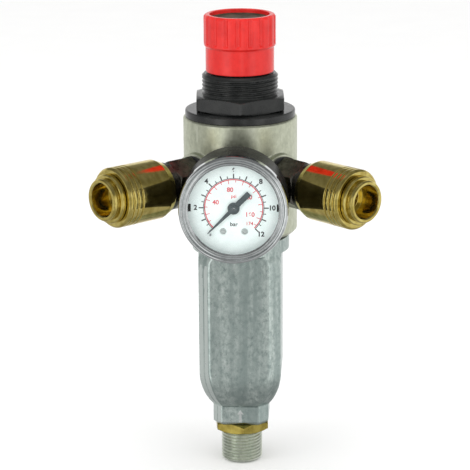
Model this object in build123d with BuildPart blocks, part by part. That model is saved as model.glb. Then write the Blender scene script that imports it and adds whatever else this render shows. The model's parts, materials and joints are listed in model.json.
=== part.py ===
from build123d import *
from math import asin, cos, degrees, radians, sin, sqrt
import os

# A gas pressure regulator with a built-in filter, a dial gauge and two quick couplings.
# Millimetres. +Z is up along the main axis, the origin is the centre of the inlet's open end,
# and the gauge looks along -Y. "Reach" is a distance from the main axis, out along a port.

# ---- Driving dimensions -------------------------------------------------------------------

# Fits
RUNNING_GAP = 0.05          # radial, for threads, shafts and spigots
SLIDING_GAP = 0.25          # radial, between a sleeve and what it slides on

# Inlet nipple and its lock nut (G3/8 pipe thread)
INLET_THREAD_R = 8.33
INLET_ENGAGED_R = 7.9       # pitch radius, where the thread is screwed in
INLET_BORE_R = 5.5
INLET_END_CHAMFER = 0.9
NIPPLE_TOP = 31.0
NUT_BOTTOM = 13.3
NUT_TOP = 17.2
NUT_FLATS = 20.8
NUT_CORNER_TURN = 6.2       # degrees, from -Y towards +X

# Lower body: the filter bowl, a square casting with 45 degree facets
NECK_HALF = 11.2
NECK_FACET_HALF = 7.7
NECK_CHAMFER = 1.5
BOWL_HALF = 16.5
BOWL_PANEL_HALF = 12.2
BOWL_LIP = 25.4             # height where the rounded bottom meets the neck
BOWL_LIP_HALF = 11.4
BOWL_LIP_PANEL_HALF = 6.6
BOWL_SIDE_START = 40.5      # height where the flats start to curve in
BOWL_FACET_START = 43.0     # height where the facets start to curve in
BOWL_FACET_TOP = 87.0       # height where the facets start to narrow to the collar
BOWL_TOP = 89.0
COLLAR_R = 19.5
COLLAR_CONE_TOP = 90.5
COLLAR_TOP = 96.0
BOWL_BORE_R = 12.5
BOWL_FLOOR = 36.0
SPIGOT_R = 16.0
SPIGOT_TOP = 106.5
SEAL_R = 18.8

# Upper body: a round casting with a port on each side of the gauge
BODY_R = 22.6
BODY_BOTTOM = 97.6
BODY_TOP = 144.4
BODY_CHAMFER = 1.2
BODY_TOP_EDGE = 0.6
VALVE_WALL_BOTTOM = 107.0
VALVE_WALL_TOP = 110.0
ORIFICE_R = 4.0
CHAMBER_R = 14.0
DIAPHRAGM_SHELF = 130.0
DIAPHRAGM_BORE_R = 18.05

# Ports
OUTLET_ANGLE = 45.0         # degrees each side of -Y
OUTLET_HEIGHT = 121.7
OUTLET_BOSS_R = 10.6
OUTLET_FACE = 24.5          # reach of the boss face
OUTLET_THREAD_R = 6.58      # G1/4
OUTLET_PASSAGE_R = 4.0
GAUGE_HEIGHT = 119.2
GAUGE_BOSS_R = 8.0
GAUGE_FACE = 24.0
GAUGE_THREAD_R = 4.86       # G1/8
GAUGE_PASSAGE_R = 2.5
THREAD_FLOOR = 15.5         # reach of the blind end of every port thread

# Bonnet: spring housing with a hexagon and a panel thread (M30 x 1.5)
FLANGE_R = 21.8
FLANGE_EDGE = 0.5
FLANGE_TOP = 147.2
HEX_BOTTOM = 147.5
HEX_TOP = 153.2
HEX_FLATS = 34.4
HEX_CORNER_TURN = 3.5       # degrees, from -Y towards +X
HEX_UNDERCUT_R = 16.5
PANEL_THREAD_R = 15.0
PANEL_THREAD_TOP = 161.6
PANEL_THREAD_CHAMFER = 0.9
BONNET_SPIGOT_R = 18.0
BONNET_BOTTOM = 132.0
SPRING_ROOM_R = 12.0
SPRING_ROOM_TOP = 158.5
NECK_R = 11.0
NECK_TOP = 170.0
NECK_EDGE = 0.6
NECK_CORE_R = 9.2
SPINDLE_BOSS_R = 6.0
HEX_BEVEL = 0.7
KEYWAY_R = 13.3
KEYWAY_WIDTH = 4.4
LOCK_RIB_COUNT = 24
LOCK_RIB_WIDTH = 0.8
LOCK_RIB_HEIGHT = 4.0
BONNET_RIB_DEPTH = 0.3
KNOB_RIB_DEPTH = 0.5
KNOB_RIB_BOTTOM = 163.2

# Setting knob
SKIRT_R = 13.5
SKIRT_EDGE = 0.4
SKIRT_BOTTOM = 162.2
SKIRT_TOP = 171.9
GRIP_R = 14.15
GRIP_BOTTOM = 173.0
KNOB_TOP = 184.8
KNOB_CHAMFER = 1.0
FLUTE_COUNT = 18
FLUTE_R = 1.1
FLUTE_OUT = 0.45
FLUTE_START = 10
FLUTE_BOTTOM = 173.4
RECESS_R = 11.8
RECESS_FLOOR = 182.2
KNOB_ROOM_R = 11.6
KNOB_ROOM_TOP = 175.0
HUB_R = 7.5
HUB_BOTTOM = 170.8
WEB_TOP = 176.0
SCREW_POCKET_R = 6.5
CAP_TOP = 183.4
CAP_GROOVE = (8.2, 9.2)     # inner and outer radius of the ring in the cap
CAP_GROOVE_SLOPE = 0.2
CAP_GROOVE_FLOOR = 183.0

# Spindle, spring nut and main spring
SPINDLE_R = 4.0
SPINDLE_BOTTOM = 142.0
SPINDLE_COLLAR_R = 7.0
SPINDLE_COLLAR = (156.5, 158.4)
DRIVE_BOTTOM = 170.4
DRIVE_TOP = 179.6
DRIVE_FLATS = 6.0
SPINDLE_EDGE = 0.6
SCREW_R = 1.65
SCREW_HOLE_FLOOR = 173.6
SCREW_END = 174.0
SCREW_COLLAR_R = 5.2
SCREW_COLLAR_TOP = 180.4
SCREW_HEAD_R = 3.4
SCREW_TOP = 181.9
SCREW_EDGE = 0.5
SCREW_SLOT_FLOOR = 180.6
SCREW_SLOT = (3.6, 0.8)
MAIN_COIL = (9.2, 0.95, 5)  # coil radius, wire radius, turns
SPRING_NUT = (151.5, 156.3)
SPRING_NUT_R = 11.6
SPRING_NUT_LUG_R = 13.0
SPRING_NUT_LUG_WIDTH = 4.0

# Valve train, filter
STEM_R = 1.25
STEM_BOTTOM = 103.5
STEM_TOP = 127.4
STEM_EDGE = 0.3
POPPET_R = 5.5
POPPET = (102.5, 106.2)
POPPET_BOSS_R = 3.0
POPPET_BOSS_BOTTOM = 100.5
POPPET_COIL = (3.9, 0.4, 4)
GUIDE_BOTTOM = 93.0
GUIDE_FLOOR = 95.0
GUIDE_R = 8.5
GUIDE_BORE_R = 7.0
GUIDE_FLANGE_R = 12.3
GUIDE_FLANGE_BOTTOM = 105.0
GAS_HOLE_CIRCLE_R = 5.2
GAS_HOLE_COUNT = 6
GAS_HOLE_R = 1.1
FILTER_R = 9.5
FILTER_BORE_R = 6.5
FILTER_BOTTOM = 62.0
BAFFLE_R = 11.0
BAFFLE_BOTTOM = 60.0
BAFFLE_EDGE = 1.0
STUD_R = 2.0
STUD_BOTTOM = 55.0
STUD_EDGE = 0.4
FILTER_NUT_BOTTOM = 56.8
FILTER_NUT_FLATS = 7.0
FILTER_NUT_BEVEL = 0.4
PLATE_R = 11.3
PLATE = (131.0, 133.0)
PLATE_BOSS_R = 6.0
PLATE_BOSS_TOP_R = 5.5
PLATE_BOSS_TOP = 134.2
BUTTON_R = 5.0              # relief seat under the diaphragm
BUTTON_EDGE = 0.5
BUTTON_SHANK_R = 2.0
VENT_R = 0.7
SLIP_RING_R = 14.5

# Gauge, 40 mm size, reach measured from the main axis
CASE_R = 20.2
CASE_BACK = 31.5
CASE_BACK_ROUND = 3.0
CASE_FRONT = 52.4
CASE_WALL = 0.7
BEZEL_R = 20.7
BEZEL_BACK = 50.5
BEZEL_FRONT = 55.1
BEZEL_OPENING_R = 17.1
BEZEL_BACK_EDGE = 0.3
BEZEL_ROLL_START = 53.9
BEZEL_ROLL = ((20.2, 54.8), (19.6, 55.1), (18.1, 54.9))
BEZEL_LIP_FRONT = 54.1
LENS_R = 20.1
LENS_FRONT = 53.5
DIAL_R = 19.2
DIAL_BACK = 49.8
DIAL_FRONT = 50.2
DIAL_HOLE_R = 1.2
DIAL_NOTCH = (6.0, 3.0)     # clears a crimp of the case on each side
RIVETS = ((-4.05, -9.1), (4.05, -9.1))
RIVET_R = 0.6
RIVET_HEAD_R = 1.25
RIVET_HEAD_THICK = 0.4
STEM_FLATS = 12.0
STEM_BLOCK_R = 5.0
STEM_PASSAGE_R = 1.2
STEM_PASSAGE_DEPTH = 18.0
STEM_ARM_BACK = 33.4
STEM_ARM_CENTRE = (0, -8.4)
STEM_ARM_SIZE = (5, 14.4)
STEM_ARM_THICK = 3.6
TUBE_BACK = 34.2
TUBE_WIDTH = 3.0
BOURDON_R = (14.6, 16.0)
BOURDON_SWEEP = (262, -292)  # start and sweep, degrees on the dial
BOURDON_SOCKET_CENTRE = (0, -15.5)
BOURDON_SOCKET_SIZE = (5.2, 3)
MOVEMENT_BACK = 37.5
MOVEMENT_FRONT = 45.0
PLATE_THICK = 0.8
MOVEMENT_PLATE_SIZE = (16, 18.5)
MOVEMENT_PLATE_CENTRE = (0, -5)
MOVEMENT_PLATE_CORNER = 1.5
PILLARS = ((-6.5, 2.8), (6.5, 2.8), (-6.5, -12.8))
PILLAR_R = 0.9
ARBOR_R = 0.5
ARBOR_CLEARANCE = 1.5
POINTER_BACK = 51.0
POINTER_THICK = 0.3
POINTER_LENGTH = 14.0
POINTER_TAIL = 8.3
ZERO_ANGLE = 225.0          # degrees on the dial, counter-clockwise from the right
STOP_PIN_ANGLE = 229.5
STOP_PIN_REACH = 13.6
STOP_PIN_R = 0.4
STOP_PIN_LENGTH = 1.3

# Gauge gear pair: a ten-tooth pinion and a sector cut from a seventy-tooth wheel
GEAR_MODULE = 0.25
PINION_TEETH = 10
WHEEL_TEETH = 70
GEAR_ADDENDUM = 0.2
GEAR_DEDENDUM = 0.32
TOOTH_ROOT_WIDTH = 0.40
TOOTH_TIP_WIDTH = 0.14
GEAR_BACK = 41.0
GEAR_THICK = 0.8
PINION_PITCH_R = GEAR_MODULE * PINION_TEETH / 2
WHEEL_PITCH_R = GEAR_MODULE * WHEEL_TEETH / 2
PINION_STEP = 360 / PINION_TEETH
WHEEL_STEP = 360 / WHEEL_TEETH
MESH_DIRECTION = 90         # from the sector's pivot to the pinion
SECTOR_PIVOT = (0, -PINION_PITCH_R - WHEEL_PITCH_R)
SECTOR_HUB_R = 1.6
SECTOR_TAIL = 4.8
LINK_REACH = 4.2            # from the sector's pivot to the link's lower end
LINK_TIP = (7.0, -13.0)
LINK_WIDTH = 1.2
LINK_THICK = 0.5

# Washers and screwed ends of the gauge and of the rear plug
WASHER_THICK = 0.8
GAUGE_WASHER_R = 7.4
GAUGE_WASHER_END = GAUGE_FACE + WASHER_THICK
GAUGE_THREAD_END = THREAD_FLOOR + 1
PLUG_HEAD_R = 7.0
PLUG_END = 27.6
PLUG_EDGE = 0.6
PLUG_SOCKET_DEPTH = 4.0
PLUG_SOCKET_FLATS = 5.0

# Quick couplings, reach measured from the main axis
ADAPTER_HEX_END = 38.4
COUPLING_FLATS = 17.0
BARREL_R = 9.5
BARREL_START = 39.4
BARREL_END = 45.0
ADAPTER_BORE_R = 3.5
SPRING_BORE_R = 4.6
SPRING_BORE_FLOOR = 39.0
JOINT_R = 7.0
JOINT_END = 49.6
TUBE_R = 8.6
NOSE_START = 66.2
NOSE_R = 9.4
NOSE_END = 68.3
LIP_R = 8.1
LIP_END = 70.8
SOCKET_R = 6.35
SOCKET_FLOOR = 62.0
SEAT_R = 4.1
VALVE_SEAT = 56.7
VALVE_ROOM_R = 6.2
SLEEVE_R = 11.6
SLEEVE_BACK = 42.3
SLEEVE_BACK_R = 10.5
SLEEVE_EDGE = 0.8
SLEEVE_TAPER_END = 45.3
SLEEVE_FRONT = 65.9
SLEEVE_STEP = 58.2
SLEEVE_GROOVES = (59.1, 61.3, 63.4)
SLEEVE_GROOVE_WIDTH = 0.8
SLEEVE_GROOVE_DEPTH = 0.5
BALL_R = 1.15
BALL_REACH = 64.3
BALL_CIRCLE_R = 7.6
BALL_COUNT = 6
CHECK_VALVE_R = 5.6
CHECK_VALVE_BACK = 54.5
CHECK_VALVE_TAIL_R = 2.2
CHECK_VALVE_TAIL_END = 48.2
CHECK_COIL = (3.4, 0.35, 7)
SLEEVE_COIL = (9.2, 0.4, 6)

# ---- Directions and small helpers ---------------------------------------------------------

UP = (0, 0, 1)
GAUGE_ORIGIN = (0, 0, GAUGE_HEIGHT)
FORWARD = (0, -1, 0)
BACKWARD = (0, 1, 0)
SIDES = {"left": -1, "right": 1}


def outlet_direction(side):
    """Unit vector out along an outlet port: side is -1 on the left, 1 on the right."""
    angle = radians(OUTLET_ANGLE)
    return (side * sin(angle), -cos(angle), 0)


def face_plane(origin, direction, reach):
    """A plane square to a port at a given reach, with its Y axis upward."""
    out = Vector(*direction)
    return Plane(Vector(*origin) + out * reach, x_dir=Vector(0, 0, -1).cross(out) * -1, z_dir=out)


def turn(outline, origin=(0, 0, 0), direction=UP, mode=Mode.ADD):
    """Revolve a closed (radius, distance) outline about an axis, in the part being built."""
    along = Vector(*direction)
    across = Vector(1, 0, 0) if abs(along.Z) > 0.5 else Vector(0, 0, 1)
    section = Plane(origin, x_dir=across, z_dir=across.cross(along))
    with BuildSketch(section) as profile:
        with BuildLine():
            Polyline(*outline, close=True)
        make_face()
    revolve(profile.sketch, axis=Axis(origin, direction), mode=mode)


def prism(plane, height, flats, rotation=0.0, sides=6, mode=Mode.ADD):
    """Extrude a regular polygon given its size across flats, in the part being built."""
    with BuildSketch(plane) as section:
        RegularPolygon(flats / 2, sides, major_radius=False, rotation=rotation)
    extrude(section.sketch, amount=height, mode=mode)


def drill(plane, radius, depth, mode=Mode.SUBTRACT):
    """Cut (or add) a round bar along a plane's normal, in the part being built."""
    with BuildSketch(plane) as section:
        Circle(radius)
    extrude(section.sketch, amount=depth, mode=mode)


def crown(flats, low, high, bore, origin=(0, 0, 0), direction=UP, bevel=0.9):
    """Round off the corners of a hexagon and open its bore, in the part being built."""
    corner = flats / sqrt(3) + 0.05
    face = flats / 2 + 0.1
    outline = [(bore, low), (face, low), (corner, low + bevel), (corner, high - bevel)]
    turn(outline + [(face, high), (bore, high)], origin, direction, Mode.INTERSECT)


def coil(low, high, radius, wire, turns, origin=(0, 0, 0), direction=UP):
    """Sweep a round wire along a helix between two end faces, in the part being built."""
    along = Vector(*direction)
    start = Vector(*origin) + along * (low + wire)
    rise = high - low - 2 * wire
    with BuildLine() as path:
        Helix(rise / turns, rise, radius, center=start, direction=along)
    with BuildSketch(Plane(path.line @ 0, z_dir=path.line % 0)) as section:
        Circle(wire)
    sweep(section.sketch, path=path.line, is_frenet=True)


def save(builder, label):
    """Label a finished piece and write it to a file of the same name."""
    builder.part.label = label
    export_step(builder.part, f"parts/{label}.step")


os.makedirs("parts", exist_ok=True)

# ---- Inlet --------------------------------------------------------------------------------

with BuildPart() as inlet_nipple:
    turn([
        (INLET_BORE_R, 0),
        (INLET_THREAD_R - INLET_END_CHAMFER, 0),
        (INLET_THREAD_R, INLET_END_CHAMFER),
        (INLET_THREAD_R, NUT_BOTTOM),
        (INLET_ENGAGED_R, NUT_BOTTOM),
        (INLET_ENGAGED_R, NIPPLE_TOP),
        (INLET_BORE_R, NIPPLE_TOP),
    ])
save(inlet_nipple, "inlet_nipple")

with BuildPart() as lock_nut:
    prism(Plane.XY.offset(NUT_BOTTOM), NUT_TOP - NUT_BOTTOM, NUT_FLATS, NUT_CORNER_TURN - 90)
    crown(NUT_FLATS, NUT_BOTTOM, NUT_TOP, INLET_ENGAGED_R + RUNNING_GAP)
save(lock_nut, "lock_nut")

# ---- Lower body ---------------------------------------------------------------------------


def bowl_outline(half, lip_half, start):
    """One silhouette of the bowl: straight sides that curve in to the lip below a given height."""
    with BuildSketch() as outline:
        with BuildLine():
            Polyline((-half, start), (-half, COLLAR_CONE_TOP), (half, COLLAR_CONE_TOP), (half, start))
            TangentArc((half, start), (lip_half, BOWL_LIP), tangent=(0, -1))
            Line((lip_half, BOWL_LIP), (-lip_half, BOWL_LIP))
            TangentArc((-half, start), (-lip_half, BOWL_LIP), tangent=(0, -1))
        make_face()
    return outline.sketch


def facet_half(half, panel_half):
    """Distance from the axis to a 45 degree facet of a square whose flats are panel_half wide."""
    return (half + panel_half) / sqrt(2)


with BuildPart() as lower_body:
    bowl_facet = facet_half(BOWL_HALF, BOWL_PANEL_HALF)
    lip_facet = facet_half(BOWL_LIP_HALF, BOWL_LIP_PANEL_HALF)
    silhouettes = (
        (0, BOWL_HALF, BOWL_LIP_HALF, BOWL_SIDE_START),
        (90, BOWL_HALF, BOWL_LIP_HALF, BOWL_SIDE_START),
        (45, bowl_facet, lip_facet, BOWL_FACET_START),
        (135, bowl_facet, lip_facet, BOWL_FACET_START),
    )
    for angle, half, lip_half, start in silhouettes:
        view = Plane.XZ.rotated((0, 0, angle))
        first = angle == silhouettes[0][0]
        outline = view * bowl_outline(half, lip_half, start)
        extrude(outline, amount=2 * BOWL_HALF, both=True, mode=Mode.ADD if first else Mode.INTERSECT)
    # the facets narrow to the collar above the straight stretch
    turn([
        (0, BOWL_LIP),
        (2 * BOWL_HALF, BOWL_LIP),
        (2 * BOWL_HALF, BOWL_FACET_TOP),
        (bowl_facet, BOWL_FACET_TOP),
        (COLLAR_R, COLLAR_CONE_TOP),
        (0, COLLAR_CONE_TOP),
    ], mode=Mode.INTERSECT)
    # collar and threaded spigot
    turn([
        (0, BOWL_TOP),
        (BOWL_HALF, BOWL_TOP),
        (COLLAR_R, COLLAR_CONE_TOP),
        (COLLAR_R, COLLAR_TOP),
        (SPIGOT_R, COLLAR_TOP),
        (SPIGOT_R, SPIGOT_TOP),
        (0, SPIGOT_TOP),
    ])
    # neck
    with BuildSketch(Plane.XY.offset(NUT_TOP)) as neck_section:
        Rectangle(2 * NECK_HALF, 2 * NECK_HALF)
        chamfer(neck_section.vertices(), NECK_HALF - NECK_FACET_HALF)
    with BuildPart(mode=Mode.PRIVATE) as neck:
        extrude(neck_section.sketch, amount=BOWL_LIP + 1 - NUT_TOP)
        chamfer(neck.faces().sort_by(Axis.Z)[0].edges(), NECK_CHAMFER)
    add(neck.part)
    # filter chamber and the inlet thread below it
    turn([
        (0, NUT_TOP),
        (INLET_ENGAGED_R + RUNNING_GAP, NUT_TOP),
        (INLET_ENGAGED_R + RUNNING_GAP, NIPPLE_TOP),
        (BOWL_BORE_R, BOWL_FLOOR),
        (BOWL_BORE_R, SPIGOT_TOP),
        (0, SPIGOT_TOP),
    ], mode=Mode.SUBTRACT)
save(lower_body, "lower_body")

with BuildPart() as bowl_seal:
    turn([
        (SPIGOT_R, COLLAR_TOP),
        (SEAL_R, COLLAR_TOP),
        (SEAL_R, BODY_BOTTOM),
        (SPIGOT_R, BODY_BOTTOM),
    ])
save(bowl_seal, "bowl_seal")

# ---- Filter -------------------------------------------------------------------------------

with BuildPart() as filter_element:
    turn([
        (FILTER_BORE_R, FILTER_BOTTOM),
        (FILTER_R, FILTER_BOTTOM),
        (FILTER_R, GUIDE_BOTTOM),
        (FILTER_BORE_R, GUIDE_BOTTOM),
    ])
save(filter_element, "filter_element")

with BuildPart() as filter_baffle:
    turn([
        (STUD_R, BAFFLE_BOTTOM),
        (BAFFLE_R - BAFFLE_EDGE, BAFFLE_BOTTOM),
        (BAFFLE_R, BAFFLE_BOTTOM + BAFFLE_EDGE),
        (BAFFLE_R, FILTER_BOTTOM),
        (STUD_R, FILTER_BOTTOM),
    ])
save(filter_baffle, "filter_baffle")

with BuildPart() as filter_stud:
    drill(Plane.XY.offset(STUD_BOTTOM), STUD_R, GUIDE_FLOOR - STUD_BOTTOM, Mode.ADD)
    chamfer(filter_stud.edges(), STUD_EDGE)
save(filter_stud, "filter_stud")

with BuildPart() as filter_nut:
    prism(Plane.XY.offset(FILTER_NUT_BOTTOM), BAFFLE_BOTTOM - FILTER_NUT_BOTTOM, FILTER_NUT_FLATS)
    crown(FILTER_NUT_FLATS, FILTER_NUT_BOTTOM, BAFFLE_BOTTOM, STUD_R, bevel=FILTER_NUT_BEVEL)
save(filter_nut, "filter_nut")

# ---- Valve --------------------------------------------------------------------------------

with BuildPart() as valve_guide:
    turn([
        (STUD_R, GUIDE_BOTTOM),
        (GUIDE_R, GUIDE_BOTTOM),
        (GUIDE_R, GUIDE_FLANGE_BOTTOM),
        (GUIDE_FLANGE_R, GUIDE_FLANGE_BOTTOM),
        (GUIDE_FLANGE_R, VALVE_WALL_BOTTOM),
        (GUIDE_BORE_R, VALVE_WALL_BOTTOM),
        (GUIDE_BORE_R, GUIDE_FLOOR),
        (STUD_R, GUIDE_FLOOR),
    ])
    with BuildSketch(Plane.XY.offset(GUIDE_BOTTOM)) as gas_holes:
        with PolarLocations(GAS_HOLE_CIRCLE_R, GAS_HOLE_COUNT):
            Circle(GAS_HOLE_R)
    extrude(gas_holes.sketch, amount=GUIDE_FLOOR - GUIDE_BOTTOM, mode=Mode.SUBTRACT)
save(valve_guide, "valve_guide")

with BuildPart() as poppet_spring:
    coil(GUIDE_FLOOR, POPPET[0], *POPPET_COIL)
save(poppet_spring, "poppet_spring")

with BuildPart() as valve_poppet:
    turn([
        (0, POPPET_BOSS_BOTTOM),
        (POPPET_BOSS_R, POPPET_BOSS_BOTTOM),
        (POPPET_BOSS_R, POPPET[0]),
        (POPPET_R, POPPET[0]),
        (POPPET_R, POPPET[1]),
        (STEM_R, POPPET[1]),
        (STEM_R, STEM_BOTTOM),
        (0, STEM_BOTTOM),
    ])
save(valve_poppet, "valve_poppet")

with BuildPart() as poppet_seal:
    turn([
        (STEM_R, POPPET[1]),
        (POPPET_R, POPPET[1]),
        (POPPET_R, VALVE_WALL_BOTTOM),
        (STEM_R, VALVE_WALL_BOTTOM),
    ])
save(poppet_seal, "poppet_seal")

with BuildPart() as valve_stem:
    drill(Plane.XY.offset(STEM_BOTTOM), STEM_R, STEM_TOP - STEM_BOTTOM, Mode.ADD)
    chamfer(valve_stem.edges().sort_by(Axis.Z)[-1], STEM_EDGE)
save(valve_stem, "valve_stem")

with BuildPart() as relief_seat:
    # a button under the diaphragm, with a vent that the stem's end closes
    turn([
        (VENT_R, STEM_TOP),
        (BUTTON_R - BUTTON_EDGE, STEM_TOP),
        (BUTTON_R, STEM_TOP + BUTTON_EDGE),
        (BUTTON_R, DIAPHRAGM_SHELF),
        (BUTTON_SHANK_R, DIAPHRAGM_SHELF),
        (BUTTON_SHANK_R, PLATE_BOSS_TOP),
        (VENT_R, PLATE_BOSS_TOP),
    ])
save(relief_seat, "relief_seat")

with BuildPart() as diaphragm:
    turn([
        (BUTTON_SHANK_R, DIAPHRAGM_SHELF),
        (BONNET_SPIGOT_R, DIAPHRAGM_SHELF),
        (BONNET_SPIGOT_R, PLATE[0]),
        (BUTTON_SHANK_R, PLATE[0]),
    ])
save(diaphragm, "diaphragm")

with BuildPart() as diaphragm_plate:
    turn([
        (BUTTON_SHANK_R, PLATE[0]),
        (PLATE_R, PLATE[0]),
        (PLATE_R, PLATE[1]),
        (PLATE_BOSS_R, PLATE[1]),
        (PLATE_BOSS_TOP_R, PLATE_BOSS_TOP),
        (BUTTON_SHANK_R, PLATE_BOSS_TOP),
    ])
save(diaphragm_plate, "diaphragm_plate")

with BuildPart() as slip_ring:
    turn([
        (SLIP_RING_R, PLATE[0]),
        (BONNET_SPIGOT_R, PLATE[0]),
        (BONNET_SPIGOT_R, BONNET_BOTTOM),
        (SLIP_RING_R, BONNET_BOTTOM),
    ])
save(slip_ring, "slip_ring")

# ---- Upper body ---------------------------------------------------------------------------

with BuildPart() as upper_body:
    turn([
        (0, BODY_BOTTOM),
        (BODY_R - BODY_CHAMFER, BODY_BOTTOM),
        (BODY_R, BODY_BOTTOM + BODY_CHAMFER),
        (BODY_R, BODY_TOP - BODY_TOP_EDGE),
        (BODY_R - BODY_TOP_EDGE, BODY_TOP),
        (0, BODY_TOP),
    ])
    ports = [(GAUGE_ORIGIN, FORWARD, GAUGE_FACE, GAUGE_BOSS_R, GAUGE_THREAD_R, GAUGE_PASSAGE_R)]
    ports.append((GAUGE_ORIGIN, BACKWARD, GAUGE_FACE, GAUGE_BOSS_R, GAUGE_THREAD_R, GAUGE_PASSAGE_R))
    for side in SIDES.values():
        ports.append(((0, 0, OUTLET_HEIGHT), outlet_direction(side), OUTLET_FACE, OUTLET_BOSS_R,
                      OUTLET_THREAD_R, OUTLET_PASSAGE_R))
    for origin, direction, face, boss_r, thread_r, passage_r in ports:
        drill(face_plane(origin, direction, CHAMBER_R), boss_r, face - CHAMBER_R, Mode.ADD)
    for origin, direction, face, boss_r, thread_r, passage_r in ports:
        drill(face_plane(origin, direction, THREAD_FLOOR), thread_r + RUNNING_GAP, face - THREAD_FLOOR)
        drill(face_plane(origin, direction, CHAMBER_R - 3), passage_r, THREAD_FLOOR - CHAMBER_R + 3)
    turn([
        (0, BODY_BOTTOM),
        (SPIGOT_R + RUNNING_GAP, BODY_BOTTOM),
        (SPIGOT_R + RUNNING_GAP, VALVE_WALL_BOTTOM),
        (ORIFICE_R, VALVE_WALL_BOTTOM),
        (ORIFICE_R, VALVE_WALL_TOP),
        (CHAMBER_R, VALVE_WALL_TOP),
        (CHAMBER_R, DIAPHRAGM_SHELF),
        (DIAPHRAGM_BORE_R, DIAPHRAGM_SHELF),
        (DIAPHRAGM_BORE_R, BODY_TOP),
        (0, BODY_TOP),
    ], mode=Mode.SUBTRACT)
save(upper_body, "upper_body")

# ---- Bonnet, spindle and main spring ------------------------------------------------------

with BuildPart() as bonnet:
    turn([
        (0, BONNET_BOTTOM),
        (BONNET_SPIGOT_R, BONNET_BOTTOM),
        (BONNET_SPIGOT_R, BODY_TOP),
        (FLANGE_R, BODY_TOP),
        (FLANGE_R, FLANGE_TOP - FLANGE_EDGE),
        (FLANGE_R - FLANGE_EDGE, FLANGE_TOP),
        (HEX_UNDERCUT_R, FLANGE_TOP),
        (HEX_UNDERCUT_R, HEX_BOTTOM),
        (PANEL_THREAD_R, HEX_BOTTOM),
        (PANEL_THREAD_R, PANEL_THREAD_TOP - PANEL_THREAD_CHAMFER),
        (PANEL_THREAD_R - PANEL_THREAD_CHAMFER, PANEL_THREAD_TOP),
        (NECK_R, PANEL_THREAD_TOP),
        (NECK_R, NECK_TOP - NECK_EDGE),
        (NECK_R - NECK_EDGE, NECK_TOP),
        (0, NECK_TOP),
    ])
    with BuildPart(mode=Mode.PRIVATE) as hexagon:
        prism(Plane.XY.offset(HEX_BOTTOM), HEX_TOP - HEX_BOTTOM, HEX_FLATS, HEX_CORNER_TURN - 90)
        crown(HEX_FLATS, HEX_BOTTOM, HEX_TOP, PANEL_THREAD_R - 1, bevel=HEX_BEVEL)
    add(hexagon.part)
    # ribs that the pushed-down knob locks on
    with BuildSketch(Plane.XY.offset(PANEL_THREAD_TOP)) as ribs:
        with PolarLocations(NECK_R, LOCK_RIB_COUNT):
            Rectangle(BONNET_RIB_DEPTH, LOCK_RIB_WIDTH)
    extrude(ribs.sketch, amount=LOCK_RIB_HEIGHT)
    # spring room, keyways for the spring nut, spindle hole
    turn([
        (0, BONNET_BOTTOM),
        (SPRING_ROOM_R, BONNET_BOTTOM),
        (SPRING_ROOM_R, SPRING_ROOM_TOP),
        (SPINDLE_R + RUNNING_GAP, SPRING_ROOM_TOP),
        (SPINDLE_R + RUNNING_GAP, NECK_TOP),
        (0, NECK_TOP),
    ], mode=Mode.SUBTRACT)
    with BuildSketch(Plane.XY.offset(SPINDLE_BOTTOM - 1)) as keyways:
        Rectangle(2 * KEYWAY_R, KEYWAY_WIDTH)
    extrude(keyways.sketch, amount=SPRING_ROOM_TOP - SPINDLE_BOTTOM + 1, mode=Mode.SUBTRACT)
    # coring around the spindle boss
    turn([
        (SPINDLE_BOSS_R, PANEL_THREAD_TOP),
        (NECK_CORE_R, PANEL_THREAD_TOP),
        (NECK_CORE_R, NECK_TOP),
        (SPINDLE_BOSS_R, NECK_TOP),
    ], mode=Mode.SUBTRACT)
save(bonnet, "bonnet")

with BuildPart() as spindle:
    turn([
        (0, SPINDLE_BOTTOM),
        (SPINDLE_R - SPINDLE_EDGE, SPINDLE_BOTTOM),
        (SPINDLE_R, SPINDLE_BOTTOM + SPINDLE_EDGE),
        (SPINDLE_R, SPINDLE_COLLAR[0]),
        (SPINDLE_COLLAR_R, SPINDLE_COLLAR[0]),
        (SPINDLE_COLLAR_R, SPINDLE_COLLAR[1]),
        (SPINDLE_R, SPINDLE_COLLAR[1]),
        (SPINDLE_R, DRIVE_BOTTOM),
        (0, DRIVE_BOTTOM),
    ])
    prism(Plane.XY.offset(DRIVE_BOTTOM), DRIVE_TOP - DRIVE_BOTTOM, DRIVE_FLATS)
    drill(Plane.XY.offset(SCREW_HOLE_FLOOR), SCREW_R, DRIVE_TOP - SCREW_HOLE_FLOOR)
save(spindle, "spindle")

with BuildPart() as spring_nut:
    height = SPRING_NUT[1] - SPRING_NUT[0]
    with BuildSketch(Plane.XY.offset(SPRING_NUT[0])) as nut_section:
        Circle(SPRING_NUT_R)
        with BuildSketch(mode=Mode.PRIVATE) as lugs:
            Circle(SPRING_NUT_LUG_R)
            Rectangle(2 * SPRING_NUT_LUG_R, SPRING_NUT_LUG_WIDTH, mode=Mode.INTERSECT)
        add(lugs.sketch)
        Circle(SPINDLE_R + RUNNING_GAP, mode=Mode.SUBTRACT)
    extrude(nut_section.sketch, amount=height)
save(spring_nut, "spring_nut")

with BuildPart() as main_spring:
    coil(PLATE[1], SPRING_NUT[0], *MAIN_COIL)
save(main_spring, "main_spring")

# ---- Knob ---------------------------------------------------------------------------------

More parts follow.
